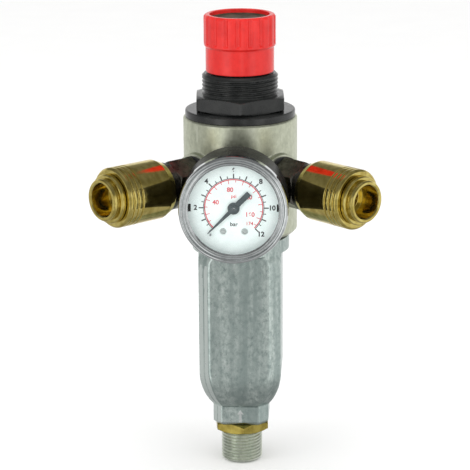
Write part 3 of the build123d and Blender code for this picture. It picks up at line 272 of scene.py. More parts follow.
class Graph:
    """A small builder for one material's nodes."""

    def __init__(self, name):
        self.material = bpy.data.materials.new(name)
        self.material.use_nodes = True
        self.tree = self.material.node_tree
        self.shader = self.tree.nodes["Principled BSDF"]
        self.place = self.node("ShaderNodeTexCoord").outputs["Object"]

    def node(self, kind, **values):
        made = self.tree.nodes.new(kind)
        for key, value in values.items():
            setattr(made, key, value)
        return made

    def join(self, source, target):
        self.tree.links.new(source, target)

    def noise(self, size, detail=3, roughness=0.55, stretch=(1, 1, 1), distortion=0.0):
        """Noise with features of a given size in millimetres."""
        mapping = self.node("ShaderNodeMapping")
        mapping.inputs["Scale"].default_value = stretch
        self.join(self.place, mapping.inputs["Vector"])
        made = self.node("ShaderNodeTexNoise")
        made.inputs["Scale"].default_value = 1 / (size * MM)
        made.inputs["Detail"].default_value = detail
        made.inputs["Roughness"].default_value = roughness
        made.inputs["Distortion"].default_value = distortion
        self.join(mapping.outputs["Vector"], made.inputs["Vector"])
        return made.outputs["Fac"]

    def turned_lines(self, axis, size):
        """Noise that only changes along an axis, as a lathe tool leaves."""
        dot = self.node("ShaderNodeVectorMath", operation="DOT_PRODUCT")
        dot.inputs[1].default_value = axis
        self.join(self.place, dot.inputs[0])
        made = self.node("ShaderNodeTexNoise", noise_dimensions="1D")
        made.inputs["Scale"].default_value = 1 / (size * MM)
        made.inputs["Detail"].default_value = 2
        self.join(dot.outputs["Value"], made.inputs["W"])
        return made.outputs["Fac"]

    def ramp(self, source, stops):
        """Colours along a factor: stops are (position, colour)."""
        made = self.node("ShaderNodeValToRGB")
        while len(made.color_ramp.elements) < len(stops):
            made.color_ramp.elements.new(0.5)
        for element, (position, colour) in zip(made.color_ramp.elements, stops):
            element.position = position
            element.color = (*colour, 1)
        self.join(source, made.inputs["Fac"])
        return made.outputs["Color"]

    def mix(self, factor, first, second, blend="MIX"):
        made = self.node("ShaderNodeMix", data_type="RGBA", blend_type=blend)
        if isinstance(factor, float):
            made.inputs["Factor"].default_value = factor
        else:
            self.join(factor, made.inputs["Factor"])
        for socket, value in ((made.inputs[6], first), (made.inputs[7], second)):
            if isinstance(value, tuple):
                socket.default_value = (*value, 1)
            else:
                self.join(value, socket)
        return made.outputs[2]

    def span(self, source, low, high, start=0.3, end=0.7):
        """Map a factor to a range."""
        made = self.node("ShaderNodeMapRange")
        made.inputs["From Min"].default_value = start
        made.inputs["From Max"].default_value = end
        made.inputs["To Min"].default_value = low
        made.inputs["To Max"].default_value = high
        self.join(source, made.inputs["Value"])
        return made.outputs["Result"]

    def worn_edges(self, low=0.52, high=0.60):
        """Convex edges, from the mesh's pointiness: the mask of a painted highlight."""
        geometry = self.node("ShaderNodeNewGeometry")
        return self.span(geometry.outputs["Pointiness"], 0.0, 1.0, low, high)

    def bumps(self, *layers):
        """Stack (height factor, strength, depth in millimetres) layers onto the normal."""
        normal = None
        for height, strength, depth in layers:
            bump = self.node("ShaderNodeBump")
            bump.inputs["Strength"].default_value = strength
            bump.inputs["Distance"].default_value = depth * MM
            self.join(height, bump.inputs["Height"])
            if normal:
                self.join(normal, bump.inputs["Normal"])
            normal = bump.outputs["Normal"]
        self.join(normal, self.shader.inputs["Normal"])

    def finish(self, colour, roughness, metallic=0.0, **inputs):
        """Connect colour and roughness, and set constant inputs on the shader itself."""
        if isinstance(colour, tuple):
            self.shader.inputs["Base Color"].default_value = (*colour, 1)
        else:
            self.join(colour, self.shader.inputs["Base Color"])
        if isinstance(roughness, float):
            self.shader.inputs["Roughness"].default_value = roughness
        else:
            self.join(roughness, self.shader.inputs["Roughness"])
        self.shader.inputs["Metallic"].default_value = metallic
        for key, value in inputs.items():
            self.shader.inputs[key.replace("_", " ")].default_value = value
        return self.material


def casting(name, dark, mid, light, roughness, spots, streaks=0.0, size=2.4):
    """Die-cast metal: mottled patches, upright streaks, fine grain, a painted highlight on convex edges."""
    g = Graph(name)
    patches = g.noise(size, detail=7, roughness=0.72, distortion=0.2, stretch=(1, 1, 0.7))
    colour = g.ramp(patches, [(0.34, dark), (0.5, mid), (0.68, light)])
    streak = g.noise(4.2, detail=2, stretch=(1, 1, 0.05))
    colour = g.mix(g.span(streak, 0.0, streaks, 0.42, 0.62), colour, dark)
    fine = g.noise(0.7, detail=3, roughness=0.7)
    colour = g.mix(g.span(fine, 0.0, spots, 0.56, 0.72), colour, dark)
    # Painted highlight: convex edges are lightened towards the light tone
    colour = g.mix(g.worn_edges(), colour, light)
    rough = g.span(g.noise(1.6, detail=4), *roughness)
    g.bumps((g.noise(1.3, detail=4), 0.35, 0.05), (g.noise(0.28, detail=2), 0.3, 0.02))
    return g.finish(colour, rough, 1.0)


def brass(name, dark, light, roughness, axis, lines=0.25, tarnish=0.35):
    """Turned brass: tool lines round an axis, patches of tarnish."""
    g = Graph(name)
    colour = g.ramp(g.noise(3.5, detail=4), [(0.36, dark), (0.6, light)])
    stain = g.noise(1.4, detail=5, roughness=0.7)
    colour = g.mix(g.span(stain, 0.0, tarnish, 0.55, 0.8), colour, (0.24, 0.13, 0.04))
    rough = g.span(g.noise(2.2, detail=3), *roughness)
    g.bumps((g.turned_lines(axis, 0.12), lines, 0.012), (g.noise(0.5, detail=2), 0.15, 0.01))
    return g.finish(colour, rough, 1.0)


def bright_metal(name, colour_a, colour_b, roughness, size=1.5, bump=0.15):
    """Drawn or plated metal with faint streaks."""
    g = Graph(name)
    colour = g.ramp(g.noise(size, detail=4), [(0.35, colour_a), (0.65, colour_b)])
    rough = g.span(g.noise(size * 0.6, detail=3), *roughness)
    g.bumps((g.noise(0.35, detail=2), bump, 0.012),)
    return g.finish(colour, rough, 1.0)


def moulding(name, dark, light, roughness, bump=0.12, gloss=0.5):
    """Moulded plastic, enamel or rubber: faint colour drift, fine surface ripple."""
    g = Graph(name)
    colour = g.ramp(g.noise(5.0, detail=3), [(0.35, dark), (0.65, light)])
    rough = g.span(g.noise(1.8, detail=4), *roughness)
    g.bumps((g.noise(0.9, detail=3), bump, 0.03), (g.noise(0.2, detail=1), bump * 0.6, 0.008))
    return g.finish(colour, rough, Specular_IOR_Level=gloss)


def porous(name, dark, light):
    """Sintered filter material: cells of resin grains."""
    g = Graph(name)
    cells = g.node("ShaderNodeTexVoronoi")
    cells.inputs["Scale"].default_value = 1 / (0.5 * MM)
    g.join(g.place, cells.inputs["Vector"])
    colour = g.ramp(cells.outputs["Distance"], [(0.1, light), (0.7, dark)])
    g.bumps((cells.outputs["Distance"], 0.8, 0.1),)
    return g.finish(colour, 0.9)


def clear_pane(name):
    """A thin clear pane: what is behind shows, with a gloss that grows at grazing angles."""
    g = Graph(name)
    tree = g.tree
    output = tree.nodes["Material Output"]
    film = g.node("ShaderNodeBsdfTransparent")
    gloss = g.node("ShaderNodeBsdfGlossy")
    gloss.inputs["Roughness"].default_value = 0.03
    marks = g.noise(6.0, detail=5, roughness=0.7)
    smudge = g.ramp(marks, [(0.4, (0.99, 1, 1)), (0.75, (0.94, 0.96, 0.96))])
    g.join(smudge, film.inputs["Color"])
    tilt = g.node("ShaderNodeLayerWeight")
    steep = g.node("ShaderNodeMath", operation="POWER")
    steep.inputs[1].default_value = 5
    g.join(tilt.outputs["Facing"], steep.inputs[0])
    blend = g.node("ShaderNodeMixShader")
    g.join(g.span(steep.outputs["Value"], 0.035, 0.9, 0, 1), blend.inputs["Fac"])
    g.join(film.outputs["BSDF"], blend.inputs[1])
    g.join(gloss.outputs["BSDF"], blend.inputs[2])
    tree.nodes.remove(g.shader)
    g.join(blend.outputs["Shader"], output.inputs["Surface"])
    return g.material


# ---- Materials ----------------------------------------------------------------------------

LEFT, RIGHT = outlet("left"), outlet("right")

bowl_look = casting("cast_bowl", (0.34, 0.42, 0.40), (0.58, 0.67, 0.63), (0.80, 0.88, 0.84),
                    (0.26, 0.38), spots=0.3, streaks=0.7, size=1.7)
body_look = casting("cast_body", (0.54, 0.57, 0.44), (0.64, 0.67, 0.52), (0.76, 0.79, 0.64),
                    (0.32, 0.44), 0.2)
arrow_look = casting("cast_arrow", (0.62, 0.66, 0.64), (0.72, 0.76, 0.74), (0.84, 0.87, 0.85),
                     (0.25, 0.35), 0.1)
neck_look = casting("zinc_plate", (0.52, 0.57, 0.48), (0.68, 0.73, 0.62), (0.82, 0.86, 0.75),
                    (0.3, 0.45), 0.2)
GOLD_DARK, GOLD_LIGHT = (0.58, 0.46, 0.12), (0.80, 0.66, 0.22)
left_brass = brass("turned_brass_left", GOLD_DARK, GOLD_LIGHT, (0.06, 0.16), LEFT[1], 0.25, 0.6)
right_brass = brass("turned_brass_right", GOLD_DARK, GOLD_LIGHT, (0.06, 0.16), RIGHT[1], 0.25, 0.6)
nut_look = brass("milled_brass", (0.30, 0.235, 0.05), (0.46, 0.37, 0.09), (0.25, 0.4), UP, 0.4)
adapter_look = brass("oxidised_brass", (0.12, 0.115, 0.10), (0.22, 0.21, 0.18), (0.22, 0.4), UP,
                     0.1, 0.1)
fine_brass = brass("movement_brass", (0.60, 0.44, 0.16), (0.78, 0.60, 0.26), (0.25, 0.4),
                   (0, 1, 0), 0.3)
rivet_look = bright_metal("rivet_steel", (0.86, 0.90, 0.88), (0.93, 0.96, 0.94), (0.55, 0.7))
steel_look = bright_metal("drawn_steel", (0.50, 0.51, 0.52), (0.66, 0.66, 0.66), (0.18, 0.32))
wire_look = bright_metal("spring_wire", (0.34, 0.35, 0.36), (0.50, 0.50, 0.51), (0.25, 0.4), 1.0)
chrome_look = bright_metal("bezel_chrome", (0.60, 0.63, 0.63), (0.72, 0.75, 0.75), (0.04, 0.10),
                           2.5, 0.06)
black_look = moulding("black_moulding", (0.010, 0.011, 0.011), (0.020, 0.021, 0.020),
                      (0.16, 0.26), 0.12)
red_look = moulding("red_moulding", (0.58, 0.014, 0.012), (0.68, 0.022, 0.018), (0.16, 0.26),
                    0.14, 0.5)
cap_look = moulding("cap_moulding", (0.040, 0.032, 0.022), (0.085, 0.064, 0.044), (0.4, 0.55),
                    0.3, 0.06)
white_look = moulding("natural_moulding", (0.74, 0.74, 0.71), (0.84, 0.84, 0.81), (0.4, 0.55))
rubber_look = moulding("seal_rubber", (0.016, 0.016, 0.017), (0.035, 0.035, 0.036), (0.6, 0.8),
                       0.4)
case_look = moulding("case_enamel", (0.014, 0.014, 0.013), (0.026, 0.026, 0.023), (0.24, 0.36),
                     0.1, 0.04)
dial_look = moulding("dial_enamel", (0.90, 0.97, 0.95), (0.93, 0.99, 0.97), (0.45, 0.6), 0.05)
pointer_look = moulding("pointer_lacquer", (0.055, 0.070, 0.075), (0.085, 0.105, 0.11),
                        (0.3, 0.45), 0.1)
black_ink = moulding("black_ink", (0.012, 0.012, 0.014), (0.03, 0.03, 0.033), (0.5, 0.65), 0.05)
red_ink = moulding("red_ink", (0.70, 0.07, 0.10), (0.80, 0.10, 0.13), (0.5, 0.65), 0.05)
fleece_look = porous("sintered_filter", (0.55, 0.54, 0.50), (0.88, 0.87, 0.83))
lens_look = clear_pane("lens_pane")

SLOT_LOOKS = {
    "bowl_casting": bowl_look,
    "body_casting": body_look,
    "galvanised_steel": neck_look,
    "satin_brass": nut_look,
    "oxidised_brass": adapter_look,
    "polished_brass": left_brass,
    "steel": steel_look,
    "spring_steel": wire_look,
    "black_plastic": black_look,
    "red_plastic": red_look,
    "cap_plastic": cap_look,
    "white_plastic": white_look,
    "filter_fleece": fleece_look,
    "seal_rubber": rubber_look,
    "chrome": chrome_look,
    "case_enamel": case_look,
    "lens_clear": lens_look,
    "dial_white": dial_look,
    "pointer_black": pointer_look,
    "movement_brass": fine_brass,
}
for part in frame["record"]["subparts"]:
    cad = frame["nodes"][part["node"]]
    cad.data.materials.clear()
    cad.data.materials.append(SLOT_LOOKS[part["material_slot"]])
frame["nodes"]["right_check_valve"].data.materials[0] = right_brass

# ---- Inlet --------------------------------------------------------------------------------

inlet_r = MOUNTS["inlet_thread"]["dims"]["r_mm"]
nut_low, nut_high = bottom("lock_nut"), top("lock_nut")
nipple_top = top("inlet_nipple")
inlet_thread = [(inlet_r, d, 0) for d in steps(1.3, nut_low, 110)]
turned(
    "inlet_nipple_threaded",
    [(5.5, 0, 0.3), (inlet_r - 0.9, 0, 0.2), (inlet_r, 0.9, 0.2)] + inlet_thread
    + [(7.9, nut_low, 0), (7.9, nipple_top, 0.2), (5.5, nipple_top, 0.2)],
    MAIN, "root", ["inlet_nipple"], "galvanised_steel", neck_look,
    shape=thread(inlet_r, 0.95, nut_low, 1.337, 0.62, 0.5), turns=168, crease=60,
)

NUT_FLATS = 20.8
NUT_CORNER = math.radians(6.2 - 90)


def nut_shape(r, d, angle):
    if r < 9:
        return r
    return smooth_min(r, polygon(angle, NUT_FLATS, NUT_CORNER), 0.25)


nut_corner_r = NUT_FLATS / math.sqrt(3) + 0.05
nut_flat_r = NUT_FLATS / 2
turned(
    "lock_nut_milled",
    [(7.95, nut_low, 0), (nut_flat_r - 0.5, nut_low, 0)]
    + [(nut_flat_r + (nut_corner_r - nut_flat_r) * t, nut_low + 0.9 * t, 0) for t in steps(0, 1, 8)]
    + [(nut_corner_r, d, 0) for d in steps(nut_low + 1.2, nut_high - 1.2, 4)]
    + [(nut_corner_r + (nut_flat_r - nut_corner_r) * t, nut_high - 0.9 + 0.9 * t, 0)
       for t in steps(0, 1, 8)]
    + [(nut_flat_r - 0.5, nut_high, 0), (7.95, nut_high, 0)],
    MAIN, "root", ["lock_nut"], "satin_brass", nut_look, shape=nut_shape, turns=240, crease=24,
)

# ---- Bowl ---------------------------------------------------------------------------------

BOWL_HALF, BOWL_PANEL = 16.5, 12.2
LIP_HALF, LIP_PANEL = 11.4, 6.6
NECK_HALF, NECK_PANEL = 11.2, 7.7
LIP, SIDE_START, FACET_START = 25.4, 40.5, 43.0
COLLAR_R, COLLAR_LOW, COLLAR_HIGH = 19.5, 90.5, 96.0
ROOT2 = math.sqrt(2)


def silhouette(half, lip_half, start, d):
    """Half width at a height: straight, then an arc that curves in to the lip."""
    if d >= start:
        return half
    inset, drop = half - lip_half, start - LIP
    radius = (inset * inset + drop * drop) / (2 * inset)
    return half - radius + math.sqrt(radius * radius - min(start - d, drop) ** 2)


def eight_sided(angle, half, facet, k):
    """Radius of a square with 45 degree facets and soft edges."""
    flat = half / max(abs(math.cos(angle)), abs(math.sin(angle)))
    turned_angle = angle - math.pi / 4
    cut = facet / max(abs(math.cos(turned_angle)), abs(math.sin(turned_angle)))
    return smooth_min(flat, cut, k)


def bowl_shape(r, d, angle):
    if r < 50:
        return r
    if d < LIP:
        bevel = 1.5 * (1 - min((d - nut_high) / 1.5, 1))
        return eight_sided(angle, NECK_HALF - bevel, (NECK_HALF + NECK_PANEL) / ROOT2 - bevel, 0.35)
    half = silhouette(BOWL_HALF, LIP_HALF, SIDE_START, d)
    facet_half, facet_lip = (BOWL_HALF + BOWL_PANEL) / ROOT2, (LIP_HALF + LIP_PANEL) / ROOT2
    facet = silhouette(facet_half, facet_lip, FACET_START, d)
    around = eight_sided(angle, half, facet, 0.75)
    if d > 85:
        around = smooth_min(around, 20.4 - 0.9 * ramp(d, 86.5, COLLAR_LOW), 0.4)
        flare = min(max(d - 89, 0) / 1.5, 1)
        around = smooth_max(around, BOWL_HALF + (COLLAR_R - BOWL_HALF) * flare, 0.4)
        around = min(around, COLLAR_R) if d >= COLLAR_LOW else around
    return around


edge_angles = []
for quarter in range(4):
    start = quarter * math.pi / 2
    for low, high, count in ((-31, 31, 26), (31, 42, 22), (42, 48, 4), (48, 59, 22)):
        edge_angles += [start + math.radians(a) for a in steps(low, high, count)[:-1]]
bowl_rows = [nut_high, nut_high + 0.4, nut_high + 0.9, nut_high + 1.5, nut_high + 1.9]
bowl_rows += steps(20, LIP - 0.02, 5)
bowl_rows += steps(LIP, FACET_START, 44)
bowl_rows += steps(44, 86, 21) + steps(86.5, 91.5, 20) + steps(92, COLLAR_HIGH - 0.5, 4)
bowl = revolve(
    "lower_body_cast",
    [(7.95, nut_high, 0)] + [(99, d, 0) for d in bowl_rows]
    + [(COLLAR_R, COLLAR_HIGH - 0.3, 0), (COLLAR_R - 0.3, COLLAR_HIGH, 0),
       (16.0, COLLAR_HIGH, 0), (16.0, top("lower_body"), 0.2),
       (12.5, top("lower_body"), 0.2), (12.5, 36, 0), (7.95, 31, 0)],
    MAIN, turns=edge_angles, soft=0, shape=bowl_shape,
)
new_piece("lower_body_cast", bowl, "root", ["lower_body"], bowl_look, 50)

# A generic flow arrow cast on the neck in relief
arrow = bmesh.new()
outline = [(-2.6, 0.45), (0.8, 0.45), (0.8, 1.25), (2.6, 0),
           (0.8, -1.25), (0.8, -0.45), (-2.6, -0.45)]
ARROW_MIDDLE = 21.6
relief = NECK_HALF + 0.22
layers = []
for depth, grow in ((NECK_HALF - 0.3, 0.12), (relief - 0.1, 0.05), (relief, 0.0)):
    ring = []
    for along, high in outline:
        across_x = high + math.copysign(grow, high) if high else 0
        ring.append(arrow.verts.new(Vector((across_x, -depth, ARROW_MIDDLE + along)) * MM))
    layers.append(ring)
for lower, upper in zip(layers, layers[1:]):
    for i in range(len(outline)):
        k = (i + 1) % len(outline)
        arrow.faces.new((lower[i], lower[k], upper[k], upper[i]))
arrow.faces.new(layers[0])
arrow.faces.new(layers[-1])
new_piece("flow_arrow", to_mesh("flow_arrow", arrow), "root", [], arrow_look, 30)

# ---- Upper body ---------------------------------------------------------------------------


def recast(node, name, voxel, passes, body, look):
    """A CAD solid remeshed and relaxed, which rounds its edges as a casting's are."""
    source = bpy.data.objects.new(name + "_source", frame["nodes"][node].data.copy())
    bpy.context.scene.collection.objects.link(source)
    remesh = source.modifiers.new("remesh", "REMESH")
    remesh.mode = "VOXEL"
    remesh.voxel_size = voxel * MM
    remesh.adaptivity = 0
    relax = source.modifiers.new("relax", "SMOOTH")
    relax.factor = 0.5
    relax.iterations = passes
    graph = bpy.context.evaluated_depsgraph_get()
    mesh = bpy.data.meshes.new_from_object(source.evaluated_get(graph))
    bpy.data.objects.remove(source)
    mesh.name = name
    mesh.materials.clear()
    piece = new_piece(name, mesh, body, [node], look, 180)
    piece.modifiers.clear()
    return piece


recast("upper_body", "upper_body_cast", 0.32, 4, "root", body_look)

# ---- Bonnet -------------------------------------------------------------------------------

bonnet_low, flange_low = bottom("bonnet"), top("upper_body")
flange_r = 21.8
HEX_FLATS, HEX_CORNER = 34.4, math.radians(3.5 - 90)
HEX_LOW, HEX_HIGH = 147.5, 153.2
RING_TOP, THREAD_TOP, ROOM_TOP = 170.0, 161.6, 158.5
hex_corner_r = HEX_FLATS / math.sqrt(3) + 0.05
panel = MOUNTS["panel_thread"]
panel_r = panel["dims"]["r_mm"]
panel_high = panel["pos_m"][2] / MM
panel_thread = thread(panel_r, 153.4, panel_high, 1.5, 0.72, 0.6)


def bonnet_shape(r, d, angle):
    if HEX_LOW <= d <= HEX_HIGH and r > panel_r + 0.5:
        return smooth_min(r, polygon(angle, HEX_FLATS, HEX_CORNER), 0.3)
    return panel_thread(r, d, angle)


hex_half = HEX_FLATS / 2
turned(
    "bonnet_threaded",
    [(12.0, bonnet_low, 0), (18.0, bonnet_low, 0), (18.0, flange_low, 0),
     (flange_r, flange_low, 0.2), (flange_r, 147.2, 0.7), (16.5, 147.2, 0.1),
     (16.5, HEX_LOW, 0), (hex_half - 0.4, HEX_LOW, 0)]
    + [(hex_half + (hex_corner_r - hex_half) * t, HEX_LOW + 0.7 * t, 0) for t in steps(0, 1, 6)]
    + [(hex_corner_r, d, 0) for d in steps(148.6, 152.2, 4)]
    + [(hex_corner_r + (hex_half - hex_corner_r) * t, 152.5 + 0.7 * t, 0) for t in steps(0, 1, 6)]
    + [(hex_half - 0.4, HEX_HIGH, 0), (panel_r + 0.4, HEX_HIGH, 0), (panel_r, 153.35, 0)]
    + [(panel_r, d, 0) for d in steps(153.45, panel_high, 84)]
    + [(panel_r - 0.9, THREAD_TOP, 0.2), (11.0, THREAD_TOP, 0.1), (11.0, 169.4, 0),
       (10.4, RING_TOP, 0.1), (9.2, RING_TOP, 0.1), (9.2, THREAD_TOP, 0.1),
       (6.0, THREAD_TOP, 0.1), (6.0, RING_TOP, 0.1), (4.05, RING_TOP, 0.1),
       (4.05, ROOM_TOP, 0), (12.0, ROOM_TOP, 0)],
    MAIN, "root", ["bonnet"], "black_plastic", black_look, shape=bonnet_shape, turns=216, crease=35,
)

# ---- Springs in the body ------------------------------------------------------------------

coiled("main_spring", MAIN, low=133.0, high=151.5, radius=9.2, wire=0.95, turns=5,
       look=wire_look)
coiled("poppet_spring", MAIN, low=95.0, high=102.5, radius=3.9, wire=0.4, turns=4,
       look=wire_look)

# ---- Knob ---------------------------------------------------------------------------------

knob_low, knob_high = bottom("knob"), top("knob")
GRIP_R, SKIRT_R, FLUTES = 14.15, 13.5, 18
flute_low = knob_high - 11.4
CAP_SEAT = 182.2


def knob_shape(r, d, angle):
    if r < 12.6 or d < flute_low - 0.4:
        return r
    u = ((angle - math.radians(10)) / (2 * math.pi) * FLUTES + 0.5) % 1 - 0.5
    offset = u * 2 * math.pi * GRIP_R / FLUTES
    wall = GRIP_R + 0.45 - math.sqrt(max(1.21 - offset * offset, 0)) - 0.05
    cut = max(r - smooth_min(r, wall, 0.25), 0) if abs(offset) < 1.1 else 0
    return r - cut * ramp(d, flute_low - 0.3, flute_low + 0.5)


turned(
    "knob_moulding",
    [(11.6, knob_low, 0.1), (SKIRT_R - 0.1, knob_low, 0.3), (SKIRT_R, knob_low + 0.4, 0.2)]
    + [(SKIRT_R, d, 0) for d in steps(knob_low + 1, 171.3, 6)]
    + [(SKIRT_R, 171.9, 0.15), (GRIP_R, 172.7, 0.35)]
    + [(GRIP_R, d, 0) for d in steps(173.1, 174.2, 8)]
    + [(GRIP_R, d, 0) for d in steps(175, knob_high - 1.7, 8)]
    + [(GRIP_R, knob_high - 0.9, 0.5), (GRIP_R - 0.35, knob_high - 0.3, 0.3),
       (GRIP_R - 1.0, knob_high, 0.3), (11.8, knob_high, 0.35), (11.8, CAP_SEAT, 0.1),
       (6.5, CAP_SEAT, 0), (6.5, 176.0, 0), (3.3, 176.0, 0),
       (3.3, 170.8, 0), (7.5, 170.8, 0.1), (7.5, 175.0, 0), (11.6, 175.0, 0)],
    MAIN, "knob", ["knob"], "red_plastic", red_look, shape=knob_shape, turns=432, crease=38,
)
turned(
    "knob_cap_disc",
    [(0, CAP_SEAT), (11.75, CAP_SEAT, 0.05), (11.75, 183.3, 0.2), (10.3, 183.4, 0.3),
     (9.6, 183.0, 0.3), (8.9, 182.75, 0.2), (8.2, 182.9, 0.2), (7.7, 183.4, 0.3),
     (6.6, 183.2, 0.3), (0, 182.9)],
    MAIN, "knob", ["knob_cap"], "cap_plastic", cap_look, turns=144, crease=60,
)

# ---- Rear plug ----------------------------------------------------------------------------


def socket_shape(r, d, angle):
    if r < 2.6:
        return r / 2.5 * polygon(angle, 5.0, 0)
    return r


turned(
    "rear_plug_turned",
    [(0, 16.5), (4.3, 16.5, 0.1), (4.86, 17.1, 0.1), (4.86, 24.8, 0), (7.0, 24.8, 0.15),
     (7.0, 27.0, 0.4), (6.4, 27.6, 0.3), (2.9, 27.6, 0.1), (2.5, 27.2, 0.05), (2.5, 23.7, 0),
     (0, 23.2)],
    REAR, "root", ["rear_plug"], "satin_brass", nut_look, shape=socket_shape, turns=144,
)

# ---- Gauge --------------------------------------------------------------------------------

CASE_R, CASE_BACK, CASE_FRONT, CASE_WALL = 20.2, 31.5, 52.4, 0.7
turned(
    "gauge_case_drawn",
    [(5.0, CASE_BACK, 0.1), (CASE_R, CASE_BACK, 3.0), (CASE_R, CASE_FRONT, 0.1),
     (CASE_R - CASE_WALL, CASE_FRONT, 0.1), (CASE_R - CASE_WALL, CASE_BACK + CASE_WALL, 2.3),
     (5.0, CASE_BACK + CASE_WALL, 0.1)],
    FRONT, "root", ["gauge_case"], "case_enamel", case_look, turns=192,
)
turned(
    "gauge_bezel_rolled",
    [(20.2, 50.5, 0), (20.45, 50.5, 0.15), (20.7, 50.9, 0.25), (20.7, 54.0, 0.5),
     (20.45, 54.75, 0.35), (19.95, 55.1, 0.3), (19.45, 54.95, 0.25), (19.0, 54.3, 0.3),
     (18.5, 54.2, 0.3), (18.1, 54.45, 0.25), (17.7, 54.45, 0.25), (17.1, 53.9, 0.3),
     (17.1, 53.5, 0), (20.2, 53.5, 0)],
    FRONT, "root", ["gauge_bezel"], "chrome", chrome_look, turns=192, crease=60,
)

DIAL_FRONT = 50.2
PRINT = 0.03
ZERO, SWEEP, FULL = 225, 270, 12  # degrees at zero, degrees of travel, bar at full scale
SCALE_R, NUMBER_R = 11.4, 14.45


def dial_point(x, y, reach):
    """A point on the dial, X to the right and Y up seen from the front."""
    return Vector((x, -reach, GAUGE_CENTRE.z + y)) * MM


def add_outline(bm, points, low=DIAL_FRONT, high=DIAL_FRONT + PRINT):
    """Add a thin prism over a flat outline on the dial."""
    under = [bm.verts.new(dial_point(x, y, low)) for x, y in points]
    over = [bm.verts.new(dial_point(x, y, high)) for x, y in points]
    bm.faces.new(under)
    bm.faces.new(over)
    for i in range(len(points)):
        k = (i + 1) % len(points)
        bm.faces.new((under[i], under[k], over[k], over[i]))


def add_tick(bm, degrees, inner, outer, width):
    a = math.radians(degrees)
    along = Vector((math.cos(a), math.sin(a)))
    side = Vector((-math.sin(a), math.cos(a))) * width / 2
    corners = (along * inner - side, along * outer - side,
               along * outer + side, along * inner + side)
    add_outline(bm, [tuple(c) for c in corners])


def add_arc(bm, radius, width, first, last, count=180):
    for a, b in zip(steps(first, last, count), steps(first, last, count)[1:]):
        a, b = math.radians(a), math.radians(b)
        lo, hi = radius - width / 2, radius + width / 2
        corners = [(lo * math.cos(a), lo * math.sin(a)), (hi * math.cos(a), hi * math.sin(a)),
                   (hi * math.cos(b), hi * math.sin(b)), (lo * math.cos(b), lo * math.sin(b))]
        add_outline(bm, corners)


def add_text(bm, words, x, y, size, weight=0.0):
    """Set words on the dial, centred on a point."""
    curve = bpy.data.curves.new("words", "FONT")
    curve.body = words
    curve.size = size
    curve.align_x, curve.align_y = "CENTER", "CENTER"
    curve.offset = weight
    curve.extrude = PRINT / 2
    holder = bpy.data.objects.new("words", curve)
    mesh = bpy.data.meshes.new_from_object(holder)
    place = Matrix(((1, 0, 0, x), (0, 0, -1, -DIAL_FRONT - PRINT / 2),
                    (0, 1, 0, y + GAUGE_CENTRE.z), (0, 0, 0, 1)))
    mesh.transform(Matrix.Scale(MM, 4) @ place)
    bm.from_mesh(mesh)
    bpy.data.objects.remove(holder)
    bpy.data.meshes.remove(mesh)


black_print, red_print = bmesh.new(), bmesh.new()
add_arc(black_print, SCALE_R, 0.22, ZERO, ZERO - SWEEP)
for half_bar in range(2 * FULL + 1):
    degrees = ZERO - SWEEP * half_bar / (2 * FULL)
    major = half_bar % 2 == 0
    add_tick(black_print, degrees, SCALE_R, 13.2 if major else 12.4, 0.44 if major else 0.3)
for bar in range(2, FULL + 1, 2):
    a = math.radians(ZERO - SWEEP * bar / FULL)
    add_text(black_print, str(bar), NUMBER_R * math.cos(a), NUMBER_R * math.sin(a), 2.6, 0.09)
add_text(black_print, "bar", 0.0, -6.4, 2.2, 0.04)
add_arc(red_print, 10.95, 0.42, ZERO, ZERO - SWEEP)
PSI_PER_BAR = 14.5038
psi = 0
while psi <= FULL * PSI_PER_BAR:
    degrees = ZERO - SWEEP * psi / (FULL * PSI_PER_BAR)
    add_tick(red_print, degrees, 9.3 if psi % 20 == 0 else 9.9, 10.9, 0.26)
    psi += 5 if psi % 10 else 10
for psi in (40, 80, 120, 160):
    a = math.radians(ZERO - SWEEP * psi / (FULL * PSI_PER_BAR))
    radius = 7.1 if psi < 100 else 6.6
    add_text(red_print, str(psi), radius * math.cos(a), radius * math.sin(a), 2.4, 0.07)
add_text(red_print, "174", 5.9, -6.1, 1.9, 0.04)
add_text(red_print, "psi", 0.0, 4.5, 1.9, 0.03)
for label, bm, look in (("dial_black_print", black_print, black_ink),
                        ("dial_red_print", red_print, red_ink)):
    new_piece(label, to_mesh(label, bm), "root", [], look, 30)

RIVETS = ((-4.05, -9.1), (4.05, -9.1))
RIVET_OUTLINE = ((0.6, 45.8), (0.6, 50.2), (1.2, 50.2), (1.25, 50.4), (1.1, 50.58),
                 (0.8, 50.58), (0.62, 50.42))
RIVET_SIDES = 32
screws = bmesh.new()
for x, y in RIVETS:
    ring = []
    for radius, reach in RIVET_OUTLINE:
        ring.append([
            screws.verts.new(dial_point(x + radius * math.cos(a), y + radius * math.sin(a), reach))
            for a in steps(0, 2 * math.pi, RIVET_SIDES)[:-1]
        ])
    for lower, upper in zip(ring, ring[1:]):
        for i in range(RIVET_SIDES):
            k = (i + 1) % RIVET_SIDES
            screws.faces.new((lower[i], lower[k], upper[k], upper[i]))
    screws.faces.new(ring[0])
    screws.faces.new(ring[-1])
new_piece("dial_rivets", to_mesh("dial_rivets", screws), "root", ["dial_screws"],
          rivet_look, 40)

# ---- Quick couplings ----------------------------------------------------------------------

HEX = 17.0
SLEEVE_R, GROOVE_FLOOR_R = 11.6, 11.1
GROOVES = (59.1, 61.3, 63.4)


def adapter_shape(r, d, angle):
    if 25.2 < d < 38.5 and r > 8.2:
        return smooth_min(r, polygon(angle, HEX, math.pi / 2), 0.25)
    return r


